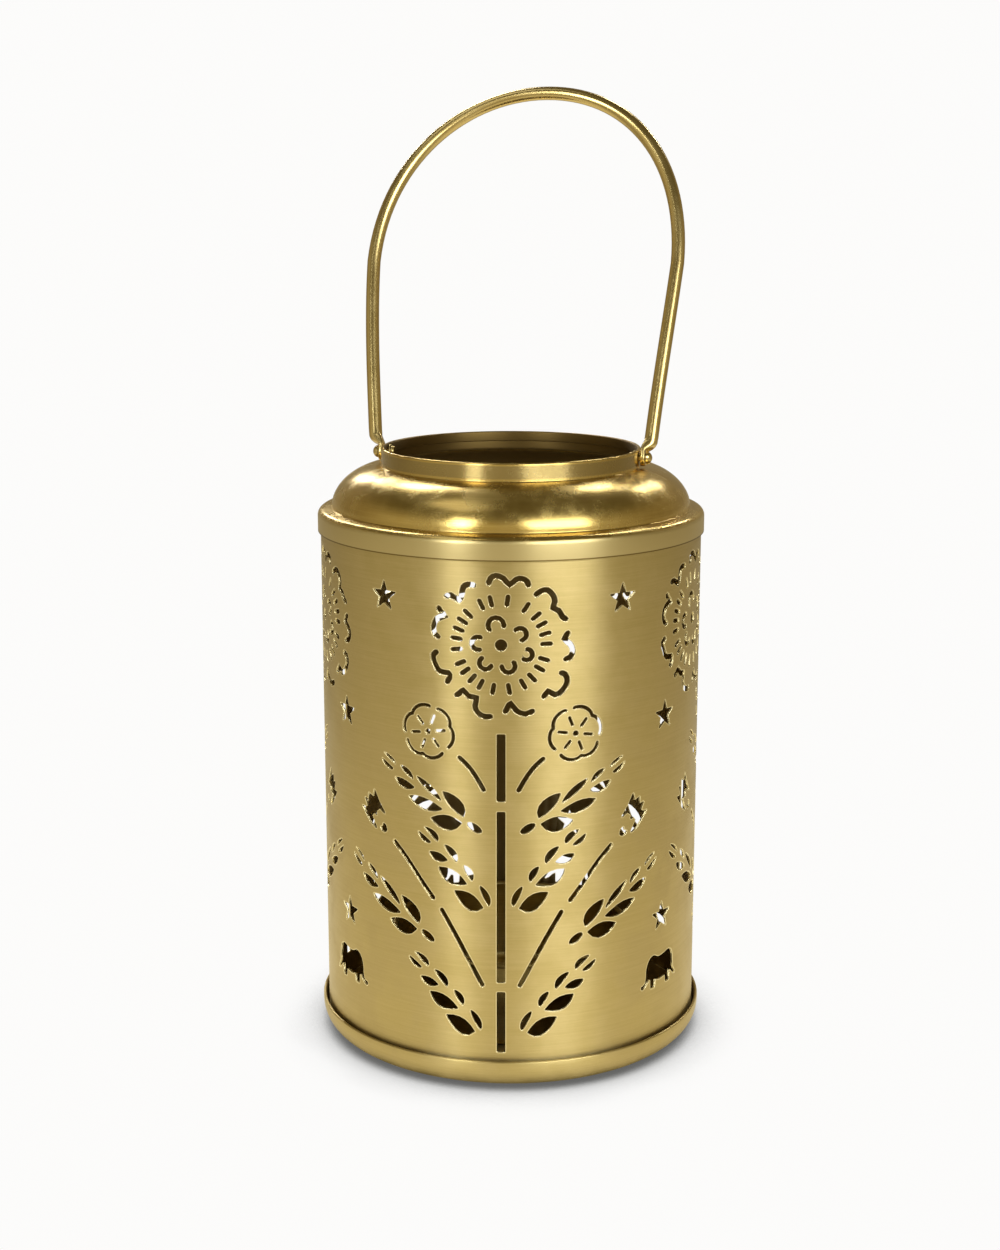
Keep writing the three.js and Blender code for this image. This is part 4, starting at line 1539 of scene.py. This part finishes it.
@dataclass
class Studio:
    """The floor, the light and the camera, in metres.

    Paper and shadow are what the camera sees of the floor. Board, far board and board shadow are
    what the metal mirrors of it, near the lantern, away from it and under its edge.
    """

    place: tuple[float, float, float] = (0.1194, -0.6328, 0.2758)
    turn: float = math.radians(11)
    pitch: float = math.radians(12.30)
    lens: float = 38.497
    sensor: float = 24
    clip_end: float = 50
    floor_r: float = 6
    floor_steps: int = 96
    paper: Color = (0.975, 0.97, 0.96)
    shadow: Color = (0.13, 0.13, 0.125)
    board: Color = (0.95, 0.87, 0.66)
    far_board: Color = (0.36, 0.31, 0.21)
    board_shadow: Color = (0.06, 0.045, 0.02)
    away_range: Pair = (0.1, 0.75)
    shade_reach: float = 0.035
    shade_range: Pair = (0.25, 0.81)
    shade_samples: int = 8
    walls: Color = (0.55, 0.49, 0.35)
    back_walls: Color = (0.27, 0.22, 0.13)
    wall_turn: Pair = (-0.7, 0.5)
    wall_top: Pair = (0.3, 0.75)
    ceiling: Color = (0.12, 0.10, 0.055)
    middle_z: float = 0.12
    softboxes: tuple[Softbox, ...] = (
        Softbox("front_left", -21, 24, 1.2, (0.26, 0.6), 3.6, (0.93, 0.97, 1.0)),
        Softbox("front_right", 41, 24, 1.2, (0.8, 0.6), 7.5, (0.93, 0.97, 1.0)),
        Softbox("strip_left_low", -149, 22, 1.5, (0.1, 0.2), 1.2),
        Softbox("strip_left_high", -149, 31, 1.5, (0.1, 0.1), 0.8),
        Softbox("back_left", -152, 44, 1.5, (0.34, 0.3), 4.2),
        Softbox("back_right", 168, 46, 1.5, (0.2, 0.25), 2.2),
        Softbox("overhead_left", -60, 68, 1.5, (0.7, 0.5), 1.0),
        Softbox("strip_right_high", 154, 38, 1.5, (0.1, 0.1), 0.8),
        Softbox("strip_right_low", 160, 30, 1.5, (0.08, 0.1), 0.7),
    )

    def camera(self) -> None:
        """Sets the camera at the photograph's angle."""
        data = bpy.data.cameras.new("camera")
        data.sensor_fit = "VERTICAL"
        data.sensor_height = self.sensor
        data.lens = self.lens
        data.clip_end = self.clip_end
        camera = bpy.data.objects.new("camera", data)
        camera.location = self.place
        camera.rotation_euler = (QUARTER - self.pitch, 0, self.turn)
        bpy.context.scene.collection.objects.link(camera)
        bpy.context.scene.camera = camera

    def floor(self) -> None:
        """Lays a round pale floor that fades into the background away from the lantern."""
        bm = bmesh.new()
        bmesh.ops.create_circle(bm, cap_ends=True, segments=self.floor_steps, radius=self.floor_r)
        floor = finish_mesh("floor", bm, scale=1)
        material = bpy.data.materials.new("pale_floor")
        n = fresh_nodes(material)
        distance = n.vector("LENGTH", n.add("TexCoord").outputs["Object"])
        away = n.ramp(distance, *self.away_range)
        shade = n.add("AmbientOcclusion", {"samples": self.shade_samples}, Distance=self.shade_reach)
        shade = n.math("MAXIMUM", n.ramp(shade.outputs["AO"], *self.shade_range), away)
        paper = n.mix(shade, opaque(self.shadow), opaque(self.paper))
        board = n.mix(away, opaque(self.board), opaque(self.far_board))
        board = n.mix(shade, opaque(self.board_shadow), board)
        seen = n.add("Emission", None, Color=paper, Strength=1.0)
        unseen = n.add("Emission", None, Color=board, Strength=1.0)
        n.add("OutputMaterial", None, Surface=n.by_ray(seen, unseen))
        floor.data.materials.append(material)

    def world(self) -> None:
        """Fills the room with dim warm light, and lets the camera see a pale background."""
        world = bpy.data.worlds.new("room")
        bpy.context.scene.world = world
        n = fresh_nodes(world)
        way = n.add("SeparateXYZ", None, Vector=n.add("TexCoord").outputs["Generated"]).outputs
        walls = n.mix(n.ramp(way["Y"], *self.wall_turn), opaque(self.walls), opaque(self.back_walls))
        color = n.mix(n.ramp(way["Z"], *self.wall_top), walls, opaque(self.ceiling))
        seen = n.add("Background", None, Color=opaque(self.paper), Strength=1.0)
        unseen = n.add("Background", None, Color=color, Strength=1.0)
        n.add("OutputWorld", None, Surface=n.by_ray(seen, unseen))

    def build(self) -> None:
        """Sets the whole studio."""
        bpy.context.scene.view_settings.view_transform = "Standard"
        self.camera()
        self.floor()
        self.world()
        for softbox in self.softboxes:
            softbox.hang(Vector((0, 0, self.middle_z)))


def main() -> None:
    """Builds the lantern and its studio."""
    logging.basicConfig(level=logging.INFO, format="%(name)s: %(message)s")
    Studio().build()
    Lantern().build()


if __name__ == "__main__":
    main()
